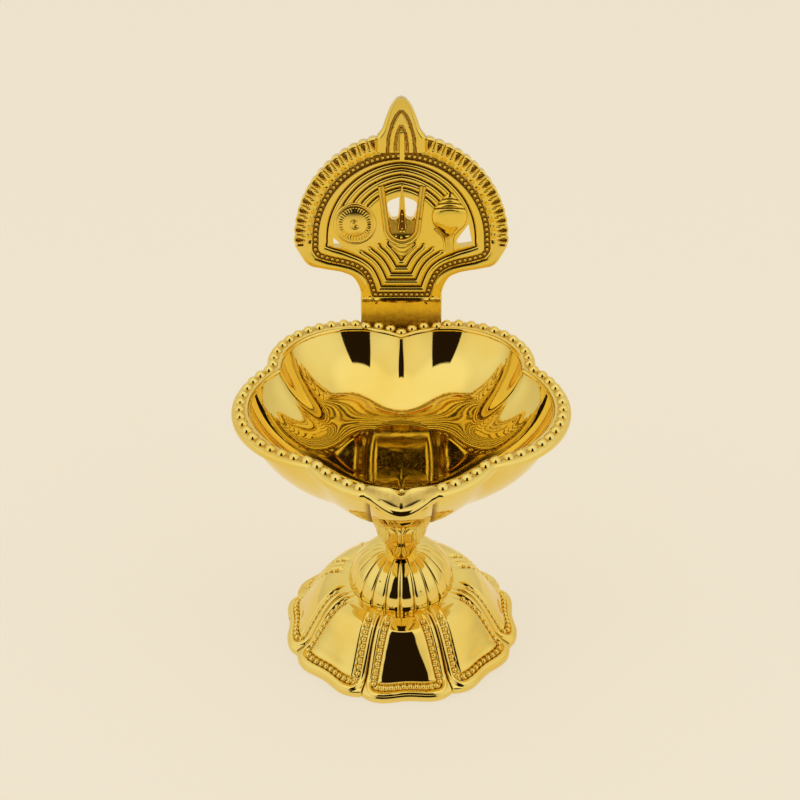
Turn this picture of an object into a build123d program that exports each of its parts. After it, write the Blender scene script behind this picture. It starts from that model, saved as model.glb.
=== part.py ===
from build123d import *
import os
from math import cos, radians, sin, tan

# Brass aarti lamp: a lobed oil bowl with a wick spout and a carved back plate, on a fluted
# dome and a petal foot, clamped by a stud and a nut inside the foot.
# Millimetres. +Z is up, -Y is the spout's side, and the origin is on the stud's axis at the
# height of the surface that the foot stands on. Plan angles count from the spout towards +X.

# Foot: a hollow bell with eight bracket-edged petals
petal_count = 8
foot_turn = 3.0
foot_height = 15.8
foot_wall = 1.6
foot_ring_inner_radius = 26.2
petal_corner_radius = 30.0
petal_dip_radius = 28.8
petal_valley_radius = 29.0
petal_corner_share = 0.64
petal_edge_bulge = 0.25
shoulder_start_radius = 15.6
shoulder_radius = 19.6
shoulder_drop = 1.0
flank_radius = 23.0
flank_drop = 6.4
flare_radius = 26.6
flare_drop = 12.1
skirt_overrun = 1.6
skirt_edge_height = 1.3
groove_width = 1.3
groove_depth = 0.7
groove_start_radius = 13.6

# Dome: a low hollow dome with convex flutes
flute_count = 16
flute_turn = 4.0
flute_depth = 0.7
dome_radius = 12.7
dome_height = 9.5
dome_top_radius = 5.7
dome_wall = 1.5
dome_inner_top_radius = 3.6
dome_sections = (0.0, 0.2, 0.45, 0.7, 0.88, 1.0)

# Neck and bowl
neck_foot_radius = 5.0
neck_height = 17.7
neck_waist_rise = 6.7
neck_waist_radius = 6.4
neck_top_radius = 9.0
neck_overlap = 2.0
bowl_depth = 25.0
bowl_floor = 9.4
bowl_wall = 1.55
bowl_fullness = 1.9
outer_sections = (0.04, 0.24, 0.42, 0.58, 0.73, 0.86, 0.95)
inner_sections = (0.0, 0.22, 0.42, 0.6, 0.76, 0.88, 0.96)

# Rim outline, right half, from the spout to the back
rim_flange_width = 4.45
rim_flange_thickness = 1.8
front_edge_half_width = 9.0
front_edge_reach = 38.0
front_curve = (15.6, -33.6)
front_cleft = (20.7, -27.2)
side_crest_half_width = 39.75
side_crest_y = -3.0
side_cleft = (32.8, 16.6)
back_crest = (26.6, 34.7)
back_cleft_y = 35.3

# Spout: a V-shaped lip whose leaf-like keel runs down to the neck
lip_half_width = 6.9
lip_corner_reach = 37.4
lip_tip_reach = 39.3
lip_dip = 4.7
spout_wall = 1.9
channel_start_drop = 2.0
keel_foot_rise = 3.4
keel_foot_reach = 7.0
keel_top_rise = 18.0
keel_half_width = 7.0
lip_cheek_share = 0.3
lip_cheek_half_width = 6.7
keel_cheek_share = 0.8
keel_cheek_half_width = 4.8

# Back plate, drawn on the plane of its seat: x across, and height up from the rim
plate_lean = 8.0
plate_seat_y = 38.6
plate_thickness = 2.4
plate_neck_half_width = 10.3
plate_seat_clearance = 0.1
plate_tab_depth = 10.5
plate_tab_side_depth = 4.5
plate_neck_top = 8.8
shoulder_outline = ((11.95, 11.7), (14.3, 13.1), (19.6, 14.1), (23.8, 15.8))
corner_point = (25.6, 18.7)
disc_centre_height = 22.2
disc_radius = 26.9
finial_half_width = 6.0
finial_height = 58.0
finial_outline = ((4.9, 49.8), (3.85, 52.6), (2.1, 56.4))
frame_relief = 1.0
frame_width = 5.6
frame_foot = 6.1
field_foot = 17.6

# Emblems soldered on the plate's field
emblem_thickness = 1.8
wheel_centre = (-11.55, 26.6)
wheel_radius = 5.4
wheel_rim_width = 1.3
wheel_hub_radius = 1.6
wheel_web = 0.8
conch_centre_x = 12.0
conch_foot = 19.4
conch_tail_rise = 4.4
conch_body_rise = 9.0
conch_crown_rise = 13.7
conch_height = 15.0
conch_half_width = 4.5
conch_tip_half_width = 1.3
conch_tail_half_width = 1.65
conch_crown_half_width = 2.4
mark_centre_x = 0.2
mark_half_width = 5.8
mark_foot_half_width = 4.5
mark_arm_width = 1.3
mark_foot = 21.2
mark_turn_height = 24.6
mark_top = 36.0
drop_half_width = 1.25
drop_top_half_width = 0.4
drop_foot = 24.2
drop_belly_height = 25.2
drop_flare_height = 31.0
drop_top = 35.8
slot_outline = ((0.65, 33.5), (3.55, 32.0), (3.0, 28.4), (2.5, 27.5), (1.6, 27.5), (0.8, 30.6))
wheel_window = ((-17.0, 23.0), (-14.3, 20.4), (-17.0, 20.4))
conch_window = ((16.8, 26.5), (17.8, 21.0), (14.6, 20.5), (13.7, 22.1))

# Fasteners
stud_radius = 2.0
stud_engagement = 12.0
stud_hole_spare = 0.5
stud_tail = 4.2
thread_clearance = 0.03
nut_clearance = 0.05
washer_clearance = 0.15
passage_clearance = 0.3
washer_radius = 6.0
washer_thickness = 0.8
nut_width = 7.0
nut_height = 3.2
lug_margin = 1.2
lug_length = 11.0
rivet_radius = 1.2
rivet_spread = 4.4
rivet_drop = 4.6
rivet_grip = 2.6
rivet_head_radius = 2.2
rivet_head_height = 1.1
rivet_clearance = 0.03

# Heights that follow from the sizes above
crown_underside = foot_height - foot_wall
dome_top = foot_height + dome_height
bowl_bottom = dome_top + neck_height
rim_height = bowl_bottom + bowl_depth
washer_bottom = crown_underside - washer_thickness
nut_bottom = washer_bottom - nut_height
petal_pitch = 360.0 / petal_count
seat_plane = Plane(
    origin=(0, plate_seat_y, rim_height),
    x_dir=(1, 0, 0),
    z_dir=(0, -cos(radians(plate_lean)), sin(radians(plate_lean))),
)


def polar(radius, degrees, height=0.0):
    """Point at a radius and a plan angle from the spout's side."""
    turn = radians(degrees)
    return (radius * sin(turn), -radius * cos(turn), height)


def scaled(point, scale, height):
    """Plan point scaled about the axis and set at a height."""
    return (point[0] * scale, point[1] * scale, height)


def mirrored(point):
    """Plan point on the other side of the lamp's middle plane."""
    return (-point[0], point[1])


def cylinder_between(radius, bottom, top):
    """Upright cylinder on the axis."""
    return Pos(0, 0, bottom) * extrude(Circle(radius), amount=top - bottom)


def foot_bell(inset):
    """Solid of revolution under the foot's outer curve, moved in and down by inset."""
    skirt_radius = petal_corner_radius + skirt_overrun
    curve = [
        (shoulder_start_radius, foot_height),
        (shoulder_radius, foot_height - shoulder_drop),
        (flank_radius, foot_height - flank_drop),
        (flare_radius, foot_height - flare_drop),
        (skirt_radius, skirt_edge_height),
    ]
    moved = [(radius - inset, height - inset) for radius, height in curve]
    start = moved[0]
    end = moved[-1]
    skirt_slope = (skirt_radius - flare_radius, (skirt_edge_height - foot_height + flare_drop) / 2)
    bell = Spline(*moved, tangents=[(1, 0), skirt_slope])
    rest = Polyline(end, (end[0], -inset), (0, -inset), (0, start[1]), start)
    return revolve(Plane.XZ * make_face([bell, rest]), axis=Axis.Z)


def foot_outline():
    """Plan face of the petals: a dipped edge between two round corners, and a notch after each."""
    corner_angle = petal_pitch / 2 * petal_corner_share
    notch_share = (corner_angle + petal_pitch / 2) / 2
    bulge_radius = (petal_corner_radius + petal_valley_radius) / 2 + petal_edge_bulge
    edges = []
    for petal in range(petal_count):
        middle = foot_turn + petal * petal_pitch
        left = polar(petal_corner_radius, middle - corner_angle)
        right = polar(petal_corner_radius, middle + corner_angle)
        notch = polar(petal_valley_radius, middle + petal_pitch / 2)
        far = polar(petal_corner_radius, middle + petal_pitch - corner_angle)
        edges.append(ThreePointArc(left, polar(petal_dip_radius, middle), right))
        edges.append(ThreePointArc(right, polar(bulge_radius, middle + notch_share), notch))
        edges.append(ThreePointArc(notch, polar(bulge_radius, middle + petal_pitch - notch_share), far))
    return make_face(edges)


def foot_grooves():
    """Slots between the petals, as deep as groove_depth below the bell's surface."""
    reach = petal_corner_radius + skirt_overrun - groove_start_radius
    slots = []
    for petal in range(petal_count):
        turn = foot_turn + (petal + 0.5) * petal_pitch - 90.0
        bar = Pos(groove_start_radius + reach / 2, 0, foot_height / 2) * Box(reach, groove_width, foot_height * 2)
        slots.append(Rot(0, 0, turn) * bar)
    return slots


def make_petal_foot():
    petals = extrude(foot_outline(), amount=foot_height)
    sunk_bell = foot_bell(groove_depth)
    shell = foot_bell(0.0) & petals
    shell -= [slot - sunk_bell for slot in foot_grooves()]
    shell -= foot_bell(foot_wall) & cylinder_between(foot_ring_inner_radius, -foot_wall, foot_height)
    return shell - cylinder_between(stud_radius + passage_clearance, 0, foot_height)


def dome_curve(share, base_radius, top_radius):
    """Radius of a dome at a share of its height: upright at the base, rounding over to the top."""
    return top_radius + (base_radius - top_radius) * (1.0 - share**2) ** 0.71


def dome_section(share):
    """Face with one convex arc for each flute."""
    radius = dome_curve(share, dome_radius, dome_top_radius)
    valley = radius - flute_depth * radius / dome_radius
    height = foot_height + share * dome_height
    pitch = 360.0 / flute_count
    edges = []
    for flute in range(flute_count):
        middle = flute_turn + flute * pitch
        start = polar(valley, middle - pitch / 2, height)
        crest = polar(radius, middle, height)
        edges.append(ThreePointArc(start, crest, polar(valley, middle + pitch / 2, height)))
    return make_face(edges)


def make_fluted_dome():
    fluted = loft([dome_section(share) for share in dome_sections])
    inner_radius = dome_radius - flute_depth - dome_wall
    inner_height = dome_height - dome_wall
    curve = []
    for share in dome_sections:
        radius = dome_curve(share, inner_radius, dome_inner_top_radius)
        curve.append((radius, foot_height + share * inner_height))
    below = foot_height - dome_wall
    inside = Spline(*curve, tangents=[(0, 1), (-1, 0)])
    rest = Polyline(curve[-1], (0, curve[-1][1]), (0, below), (inner_radius, below), curve[0])
    fluted -= revolve(Plane.XZ * make_face([inside, rest]), axis=Axis.Z)
    return fluted - cylinder_between(stud_radius + passage_clearance, foot_height, dome_top)


def rim_section(half_width, height):
    """Lobed plan face of the bowl, scaled so that its side lobes reach half_width."""
    scale = half_width / side_crest_half_width
    front = (front_edge_half_width, -front_edge_reach)
    side_crest = (side_crest_half_width, side_crest_y)
    back_cleft = (0.0, back_cleft_y)
    right = [
        (front, front_curve, front_cleft),
        (front_cleft, side_crest, side_cleft),
        (side_cleft, back_crest, back_cleft),
    ]
    left = [tuple(mirrored(point) for point in reversed(arc)) for arc in reversed(right)]
    edges = []
    for arc in right + left:
        edges.append(ThreePointArc(*[scaled(point, scale, height) for point in arc]))
    edges.append(Line(scaled(mirrored(front), scale, height), scaled(front, scale, height)))
    return make_face(edges)


def bowl_curve(share):
    """Share of the rim's width that is left at a share of the bowl's depth."""
    return (1.0 - share**bowl_fullness) ** (1.0 / bowl_fullness)


def bowl_body():
    width = side_crest_half_width - rim_flange_width + bowl_wall
    return loft([rim_section(width * bowl_curve(s), rim_height - s * bowl_depth) for s in outer_sections])


def bowl_hollow():
    width = side_crest_half_width - rim_flange_width
    depth = bowl_depth - bowl_floor
    faces = [rim_section(width * bowl_curve(s), rim_height - s * depth) for s in inner_sections]
    return loft(faces) + extrude(faces[0], amount=rim_flange_thickness)


def neck_solid():
    """Trumpet-shaped neck that flows from the dome into the bowl's underside."""
    foot = (neck_foot_radius, dome_top)
    waist = (neck_waist_radius, dome_top + neck_waist_rise)
    top = (neck_top_radius, bowl_bottom + neck_overlap)
    side = Spline(foot, waist, top)
    rest = Polyline(top, (0, top[1]), (0, dome_top), foot)
    return revolve(Plane.XZ * make_face([side, rest]), axis=Axis.Z)


def wedge(front, rear):
    """Solid between two sections, each given by its right-hand points from the corner to the tip."""
    sections = []
    for right in (front, rear):
        left = [(-point[0], point[1], point[2]) for point in reversed(right[:-1])]
        sections.append(make_face(Polyline(*right, *left, close=True)))
    return loft(sections, ruled=True)


def cheek(corner, tip, share, half_width):
    """Point at a share of the way from a section's corner to its tip, at a given half width."""
    return (half_width, corner[1] + (tip[1] - corner[1]) * share, corner[2] + (tip[2] - corner[2]) * share)


def spout_body():
    lip_corner = (lip_half_width, -lip_corner_reach, rim_height)
    lip_tip = (0, -lip_tip_reach, rim_height - lip_dip)
    keel_corner = (keel_half_width, 0, dome_top + keel_top_rise)
    keel_tip = (0, -keel_foot_reach, dome_top + keel_foot_rise)
    lip_cheek = cheek(lip_corner, lip_tip, lip_cheek_share, lip_cheek_half_width)
    keel_cheek = cheek(keel_corner, keel_tip, keel_cheek_share, keel_cheek_half_width)
    return wedge([lip_corner, lip_cheek, lip_tip], [keel_corner, keel_cheek, keel_tip])


def spout_channel():
    """V channel from the well's front edge down and out past the lip."""
    well_share = 1.0 - rim_flange_width / side_crest_half_width
    half_width = lip_half_width - spout_wall * 0.8
    above = rim_height + spout_wall / 2
    front_reach = lip_tip_reach + spout_wall / 2
    rear_reach = front_edge_reach * well_share - spout_wall / 2
    front_tip = (0, -front_reach, rim_height - lip_dip + spout_wall)
    rear_tip = (0, -rear_reach, rim_height - channel_start_drop)
    return wedge([(half_width, -front_reach, above), front_tip], [(half_width, -rear_reach, above), rear_tip])


def tab_outline(half_width, top, side_depth, depth):
    """Upright tongue on the seat plane with a rounded lower end."""
    right = (half_width, -side_depth)
    edges = [
        Line((-half_width, top), (half_width, top)),
        Line((half_width, top), right),
        ThreePointArc(right, (0, -depth), mirrored(right)),
        Line(mirrored(right), (-half_width, top)),
    ]
    return make_face(edges)


def on_seat(flat, start, end):
    """Flat face of the seat plane, carried between two heights along its normal."""
    return seat_plane * (Pos(0, 0, start) * extrude(flat, amount=end - start))


def rivet_places():
    return [(-rivet_spread, -rivet_drop), (rivet_spread, -rivet_drop)]


def make_oil_bowl():
    lug_top_drop = rim_flange_thickness / 2 + lug_length * tan(radians(plate_lean))
    flange = extrude(rim_section(side_crest_half_width, rim_height), amount=-rim_flange_thickness)
    lug_face = tab_outline(
        plate_neck_half_width - lug_margin,
        -lug_top_drop,
        plate_tab_side_depth - lug_margin,
        plate_tab_depth - lug_margin,
    )
    bowl = bowl_body() + neck_solid() + spout_body() + flange + on_seat(lug_face, 0, lug_length)
    seat_room = Pos(0, -plate_tab_depth) * Rectangle(
        2 * (plate_neck_half_width + plate_seat_clearance), 4 * plate_tab_depth
    )
    bowl -= on_seat(seat_room, -lug_length, 0)
    bowl -= bowl_hollow()
    bowl -= spout_channel()
    hole_top = dome_top + stud_engagement + stud_hole_spare
    bowl -= cylinder_between(stud_radius + thread_clearance, dome_top, hole_top)
    for place in rivet_places():
        hole = Pos(*place) * Circle(rivet_radius + rivet_clearance)
        bowl -= on_seat(hole, 0, rivet_grip + rivet_clearance)
    return bowl


def plate_outline():
    """Front outline: riveting tab, neck, shoulders, round top and a leaf-shaped finial."""
    finial_base_height = disc_centre_height + (disc_radius**2 - finial_half_width**2) ** 0.5
    arc_start = (disc_radius, disc_centre_height)
    arc_turn = radians(45.0)
    arc_middle = (disc_radius * cos(arc_turn), disc_centre_height + disc_radius * sin(arc_turn))
    finial_base = (finial_half_width, finial_base_height)
    neck_top = (plate_neck_half_width, plate_neck_top)
    tab_corner = (plate_neck_half_width, -plate_tab_side_depth)
    right = [
        Line(tab_corner, neck_top),
        Spline(neck_top, *shoulder_outline),
        Spline(shoulder_outline[-1], corner_point, arc_start, tangents=[(1, 0.8), (0, 1)]),
        ThreePointArc(arc_start, arc_middle, finial_base),
        Spline(finial_base, *finial_outline, (0, finial_height), tangents=[(-1, 0.6), (-1, 0)]),
    ]
    left = [mirror(edge, about=Plane.YZ) for edge in right]
    tab_end = ThreePointArc(mirrored(tab_corner), (0, -plate_tab_depth), tab_corner)
    return make_face(right + left + [tab_end])


def half_plane_above(height):
    """Large face that covers the seat plane above a height."""
    size = 2 * finial_height
    return Pos(0, height + size / 2) * Rectangle(size, size)


def field_face():
    """Sunk field of the plate: the disc inside its frame, cut level at its foot."""
    disc = Pos(0, disc_centre_height) * Circle(disc_radius - frame_width)
    return disc & half_plane_above(field_foot)


def mark_face():
    """U-shaped mark with a round foot and arms that lean outwards."""
    def bent(inset):
        top = (mark_half_width - inset, mark_top)
        turn = (mark_foot_half_width - inset, mark_turn_height)
        edges = [
            Line(top, turn),
            ThreePointArc(turn, (0, mark_foot + inset), mirrored(turn)),
            Line(mirrored(turn), mirrored(top)),
            Line(mirrored(top), top),
        ]
        return make_face(edges)

    return Pos(mark_centre_x, 0) * (bent(0.0) - bent(mark_arm_width))


def drop_face():
    """Tall drop between the arms of the U-shaped mark: a narrow stem that widens to a round foot."""
    belly = (drop_half_width, drop_belly_height)
    flare = (drop_top_half_width, drop_flare_height)
    top = (drop_top_half_width, drop_top)
    side = Polyline(belly, flare, top, mirrored(top), mirrored(flare), mirrored(belly))
    foot = ThreePointArc(mirrored(belly), (0, drop_foot), belly)
    return Pos(mark_centre_x, 0) * make_face([side, foot])


def conch_face():
    """Upright conch: a slim tail, a full round body and a short crown."""
    foot = (conch_tip_half_width, conch_foot)
    tail = (conch_tail_half_width, conch_foot + conch_tail_rise)
    body = (conch_half_width, conch_foot + conch_body_rise)
    crown = (conch_crown_half_width, conch_foot + conch_crown_rise)
    right = Spline(foot, tail, body, crown, tangents=[(0, 1), (-1, 1)])
    top = ThreePointArc(crown, (0, conch_foot + conch_height), mirrored(crown))
    base = Line(mirrored(foot), foot)
    return Pos(conch_centre_x, 0) * make_face([base, right, top, mirror(right, about=Plane.YZ)])


def plate_windows():
    """Pierced slots beside the drop, one window under the wheel and one beside the conch."""
    slot = make_face(Polyline(*slot_outline, close=True))
    windows = [Pos(mark_centre_x, 0) * slot]
    windows.append(Pos(mark_centre_x, 0) * mirror(slot, about=Plane.YZ))
    for outline in (wheel_window, conch_window):
        windows.append(make_face(Polyline(*outline, close=True)))
    return windows


def make_back_plate():
    outline = plate_outline()
    plate = on_seat(outline, -plate_thickness, 0)
    raised = (outline & half_plane_above(frame_foot)) - field_face()
    plate += on_seat(raised, 0, frame_relief)
    for window in plate_windows():
        plate -= on_seat(window, -plate_thickness, frame_relief)
    for place in rivet_places():
        hole = Pos(*place) * Circle(rivet_radius + rivet_clearance)
        plate -= on_seat(hole, -plate_thickness, 0)
    return plate


def make_wheel_disc():
    disc = Circle(wheel_radius)
    rim = disc - Circle(wheel_radius - wheel_rim_width)
    place = Pos(*wheel_centre)
    wheel = on_seat(place * disc, 0, wheel_web)
    wheel += on_seat(place * rim, 0, emblem_thickness)
    return wheel + on_seat(place * Circle(wheel_hub_radius), 0, emblem_thickness)


def make_conch_shell():
    return on_seat(conch_face(), 0, emblem_thickness)


def make_u_mark():
    return on_seat(mark_face(), 0, emblem_thickness)


def make_centre_drop():
    return on_seat(drop_face(), 0, emblem_thickness)


def make_plate_rivets():
    """Two rivets from behind the plate into its lug, each a shank and a low round head."""
    rivets = []
    head_arc_radius = (rivet_head_radius**2 + rivet_head_height**2) / (2 * rivet_head_height)
    for place in rivet_places():
        shank = on_seat(Pos(*place) * Circle(rivet_radius), -plate_thickness, rivet_grip)
        ball = seat_plane * Pos(*place, head_arc_radius - rivet_head_height - plate_thickness) * Sphere(head_arc_radius)
        cap = on_seat(Pos(*place) * Circle(rivet_head_radius), -plate_thickness - rivet_head_height, -plate_thickness)
        rivets.append(shank + (ball & cap))
    return Compound(rivets)


def make_stud():
    return cylinder_between(stud_radius, nut_bottom - stud_tail, dome_top + stud_engagement)


def make_crown_washer():
    disc = cylinder_between(washer_radius, washer_bottom, crown_underside)
    return disc - cylinder_between(stud_radius + washer_clearance, washer_bottom, crown_underside)


def make_hex_nut():
    hexagon = RegularPolygon(nut_width / 2, 6, major_radius=False)
    nut = Pos(0, 0, nut_bottom) * extrude(hexagon, amount=nut_height)
    return nut - cylinder_between(stud_radius + nut_clearance, nut_bottom, washer_bottom)


def main():
    parts = {
        "petal_foot": make_petal_foot(),
        "fluted_dome": make_fluted_dome(),
        "oil_bowl": make_oil_bowl(),
        "back_plate": make_back_plate(),
        "wheel_disc": make_wheel_disc(),
        "conch_shell": make_conch_shell(),
        "u_mark": make_u_mark(),
        "centre_drop": make_centre_drop(),
        "plate_rivets": make_plate_rivets(),
        "stud": make_stud(),
        "crown_washer": make_crown_washer(),
        "hex_nut": make_hex_nut(),
    }
    os.makedirs("parts", exist_ok=True)
    for name, shape in parts.items():
        export_step(shape, f"parts/{name}.step")


main()
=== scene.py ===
"""Looks of a brass aarti lamp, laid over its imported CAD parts.

The shape functions work in millimetres in the frame of the parts: +Z up, -Y towards the spout.
Plan angles count from the spout's side towards +X.
"""

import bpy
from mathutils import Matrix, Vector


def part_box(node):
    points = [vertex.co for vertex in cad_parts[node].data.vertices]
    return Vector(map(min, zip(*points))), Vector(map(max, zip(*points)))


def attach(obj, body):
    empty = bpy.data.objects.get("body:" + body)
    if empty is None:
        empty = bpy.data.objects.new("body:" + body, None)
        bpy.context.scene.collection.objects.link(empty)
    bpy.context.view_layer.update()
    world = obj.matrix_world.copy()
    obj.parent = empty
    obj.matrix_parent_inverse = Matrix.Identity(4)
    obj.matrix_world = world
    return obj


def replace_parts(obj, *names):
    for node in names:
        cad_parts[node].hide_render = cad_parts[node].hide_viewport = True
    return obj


bl_info = {
    "name": "Brass aarti lamp",
    "version": (1, 0, 0),
    "blender": (4, 5, 0),
    "location": "View3D > Sidebar > Lamp",
    "description": "Dresses the packed parts of a brass oil lamp with cast and polished surfaces",
    "category": "Object",
}

from math import pi, radians

import bpy
import numpy as np

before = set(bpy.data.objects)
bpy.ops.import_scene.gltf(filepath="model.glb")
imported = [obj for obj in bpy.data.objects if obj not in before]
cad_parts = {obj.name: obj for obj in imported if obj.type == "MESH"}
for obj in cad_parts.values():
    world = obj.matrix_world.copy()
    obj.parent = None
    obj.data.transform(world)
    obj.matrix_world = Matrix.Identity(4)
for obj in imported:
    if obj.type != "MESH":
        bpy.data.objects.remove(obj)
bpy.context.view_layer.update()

MM = 0.001
dome_low, dome_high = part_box("fluted_dome")
rim_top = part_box("oil_bowl")[1].z

# Foot: half section of the bell from the dome outwards, and the plan radii of its edge
BELL_SECTION = (
    (2.4, 15.8), (11.4, 15.8), (13.0, 15.75), (15.8, 15.35), (18.8, 14.2), (21.2, 11.9), (23.0, 9.3),
    (24.8, 6.6), (26.6, 4.0), (30.0, 1.9),
)
HOLLOW_SECTION = (
    (26.3, 0.0), (26.0, 0.7), (24.8, 2.3), (21.4, 7.8), (18.2, 13.0), (15.0, 14.2), (2.4, 14.2),
)
EDGE_CORNER_RADIUS = 30.0
EDGE_DIP_RADIUS = 28.8
EDGE_VALLEY_RADIUS = 28.9
EDGE_CORNER_SHARE = 0.64
BEAD_LINE = 2.3
EDGE_BEAD_LINE = 2.6
BORDER_CORNER = 3.4
BORDER_TOP_RADIUS = 16.4
PETAL_FLATTENING = 0.25

# Foot: shares of its edge's radius and height, from the border down to the ring that it stands on
EDGE_SECTION = ((1.0, 0.62), (1.0, 0.2), (0.988, 0.0))

# Foot: the border's relief, by the distance in from a petal's side or edge
GAP_EDGE = (0.02, 0.3)
GAP_DEPTH = 0.55
BORDER_LINE = 0.85
BORDER_HALF_WIDTH = 0.66
BORDER_RISE = 0.42
CHANNEL_START = (1.45, 1.7)
CHANNEL_END = (2.85, 3.2)
CHANNEL_DEPTH = 0.32
PANEL_EDGE = (2.9, 3.6)
PANEL_RISE = 0.34
RELIEF_START = (14.2, 16.6)
FOOT_BEAD_RISE = 0.12

# Dome: radii at its base and its top, and the grid of one flute
DOME_BASE_RADIUS = 12.7
DOME_TOP_RADIUS = 4.5
DOME_ROUNDNESS = 0.5
DOME_FLARE = 0.55
FLUTE_COLUMNS = 28
FLUTE_ROWS = 60
FLUTE_FLATNESS = 6

# Bowl: plan points of the rim's right half, and half sections
FRONT_EDGE = (9.0, -38.0)
FRONT_CURVE = (15.6, -33.6)
FRONT_CLEFT = (20.7, -27.2)
SIDE_CREST = (39.75, -3.0)
SIDE_CLEFT = (32.8, 16.6)
BACK_CREST = (26.6, 34.7)
BACK_CLEFT = (0.0, 35.3)
SEAT_HALF_WIDTH = 10.4
SEAT_ROOM = 38.3
RIM_REACH = 39.75
BOWL_BOTTOM = 43.0
BOWL_FLOOR = 52.4
BOWL_WALL = 1.55
INNER_FLARE = radians(23.0)
FLOOR_SLOPE = radians(5.0)
WALL_SHARE = 0.69
FLOOR_DISH = 0.036
LIP_HALF_WIDTH = 4.6
LIP_BLUNTNESS = 4.5
LIP_REACH = 1.25
LIP_BAND = 0.5
LIP_BAND_LINE = 0.88
LIP_BAND_HALF_WIDTH = 0.12
LIP_SLOPE_END = 0.9
LIP_THINNING = 0.4
TROUGH_HALF_WIDTH = 8.0
NOTCH_HALF_WIDTH = 1.5
NOTCH_DEPTH = 1.6
RIM_SECTION = (
    (0.0, -0.9), (0.02, -0.45), (0.08, -0.12), (0.16, 0.0), (0.45, 0.06), (0.7, 0.02), (0.84, -0.1),
    (0.93, -0.32), (0.98, -0.62), (0.994, -1.0), (0.99, -1.45), (0.955, -1.75), (0.8, -1.92), (0.5, -2.0),
)
NECK_SECTION = (
    (9.3, 43.9), (8.3, 42.6), (7.5, 40.0), (6.5, 36.0), (5.4, 32.0), (4.7, 29.2), (4.1, 26.6),
    (3.95, 25.3),
)
BELLY_TURN = (0.12, 1.318)
CLEFT_ROUNDING = 1.6
DEEP_ROUNDING = 7.0
RIM_BEAD_DROP = 0.35
FRONT_BEAD_INSET = 0.55
LIP_NUB = (0.1, -34.6, -1.6)
LIP_NUB_RADIUS = 0.65

# Leaf under the lip: its section gives the height, half width, reach and fold of its front
LEAF_FOOT = 26.4
LEAF_TUCK = 1.0
LEAF_CREASE = 0.45
LEAF_CREASE_SPREAD = 0.35
LEAF_SPREAD_HEIGHTS = (50.0, 66.0)
LEAF_FRONT_FOLD = 0.22
LEAF_FLANK_POWER = 1.15
LEAF_SHADE_LINE = 6.2
LEAF_INSIDE_GAP = 2.5
LEAF_INSIDE_REACH = 3.0
LEAF_SECTION = (
    (26.0, 1.8, 5.8, 0.5), (28.7, 2.8, 7.8, 1.4), (34.0, 4.4, 12.1, 2.7), (40.0, 5.5, 18.2, 3.4),
    (47.0, 5.85, 25.3, 3.5), (51.0, 6.0, 29.4, 3.2), (55.0, 6.2, 33.2, 2.6), (59.0, 6.45, 36.6, 2.5),
    (63.0, 6.7, 39.0, 2.5), (68.2, 6.9, 39.2, 2.3),
)

# Back plate, drawn on its seat plane: x across, and height up from the rim
PLATE_HUB = 22.2
PLATE_RADIUS = 26.9
PLATE_THICKNESS = 2.4
BACK_TARNISH = 0.38
TAB_HALF_WIDTH = 10.3
TAB_SIDE = -4.5
TAB_DEPTH = -10.5
SHOULDER = (
    (10.3, 8.6), (11.1, 10.8), (12.3, 12.5), (14.3, 13.5), (19.6, 14.6), (23.6, 15.8), (25.4, 18.4),
    (26.8, 21.0),
)
FINIAL_OUTLINE = ((6.0, 48.4), (4.9, 49.8), (3.85, 52.6), (2.1, 56.4), (0.9, 57.7), (0.0, 58.0))
FINIAL_FOOT = 44.6
FINIAL_HALF_WIDTH = 6.2
FINIAL_LEVEL = 0.95
FINIAL_ARCH_DEPTH = 0.6
FINIAL_PANEL_DEPTH = 0.45
FINIAL_RIB = (42.5, 49.4)
FINIAL_OUTER_ARCH = ((44.5, 3.4), (48.4, 3.1), (51.9, 2.1), (53.8, 1.15), (55.1, 0.0))
FINIAL_INNER_ARCH = ((44.5, 1.55), (47.0, 1.45), (48.8, 1.15), (50.3, 0.65), (51.5, 0.0))
BEAD_PATH_FOOT = ((0.0, 7.8), (3.4, 7.8), (6.7, 7.8))
BEAD_PATH_SIDE = (
    (6.7, 7.8), (7.6, 11.0), (9.1, 13.9), (11.2, 15.5), (14.0, 16.5), (18.0, 17.4), (20.6, 18.2),
)
BEAD_PATH_CORNER = ((20.6, 18.2), (21.4, 19.3), (21.5, 22.2))
BEAD_PATH_RADIUS = 21.5
UPPER_GROOVES = (1.75, 3.1, 4.75, 6.4, 8.0)
SIDE_GROOVES = (2.9, 4.7, 6.5, 8.3, 10.0)
LOWER_GROOVES = (2.1, 3.9, 5.6, 7.4, 9.1)
RIDGE_HALF_WIDTH = 0.7
GROOVE_OFFSETS = (0.66, 0.52, 0.38, 0.26, 0.14, 0.0, -0.14, -0.26, -0.38, -0.52, -0.66)
UPPER_CARVING = (27.5, 29.5)
LOWER_CARVING = (22.6, 21.4)
LOWER_CARVING_STEP = 0.9
FIELD_LEVEL = 0.95
GROOVE_DEPTH = 0.75
SCALLOP_DEPTH = 0.5
PIT_DEPTH = 0.85
PIT_HALF_WIDTH = 0.66
PIT_LINE = 1.3
PIT_ROUNDING = 0.85
PIT_TAPER = 1.75
NOTCH_CUT = 0.45
EDGE_ROUNDING = 0.45
FRAME_BEAD_RISE = 0.42

# Bead channel of the frame: inset from the bead path, share of the relief, and recess depth, which paints
# patina and painted shade round the beads
BEAD_CHANNEL = (
    (1.0, 1.0, 0.0), (0.82, 0.97, 0.1), (0.7, 0.7, 0.45), (0.6, 0.3, 0.7), (0.0, 0.16, 0.75),
    (-0.6, 0.3, 0.7), (-0.72, 0.62, 0.45), (-0.86, 0.74, 0.3),
)

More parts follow.
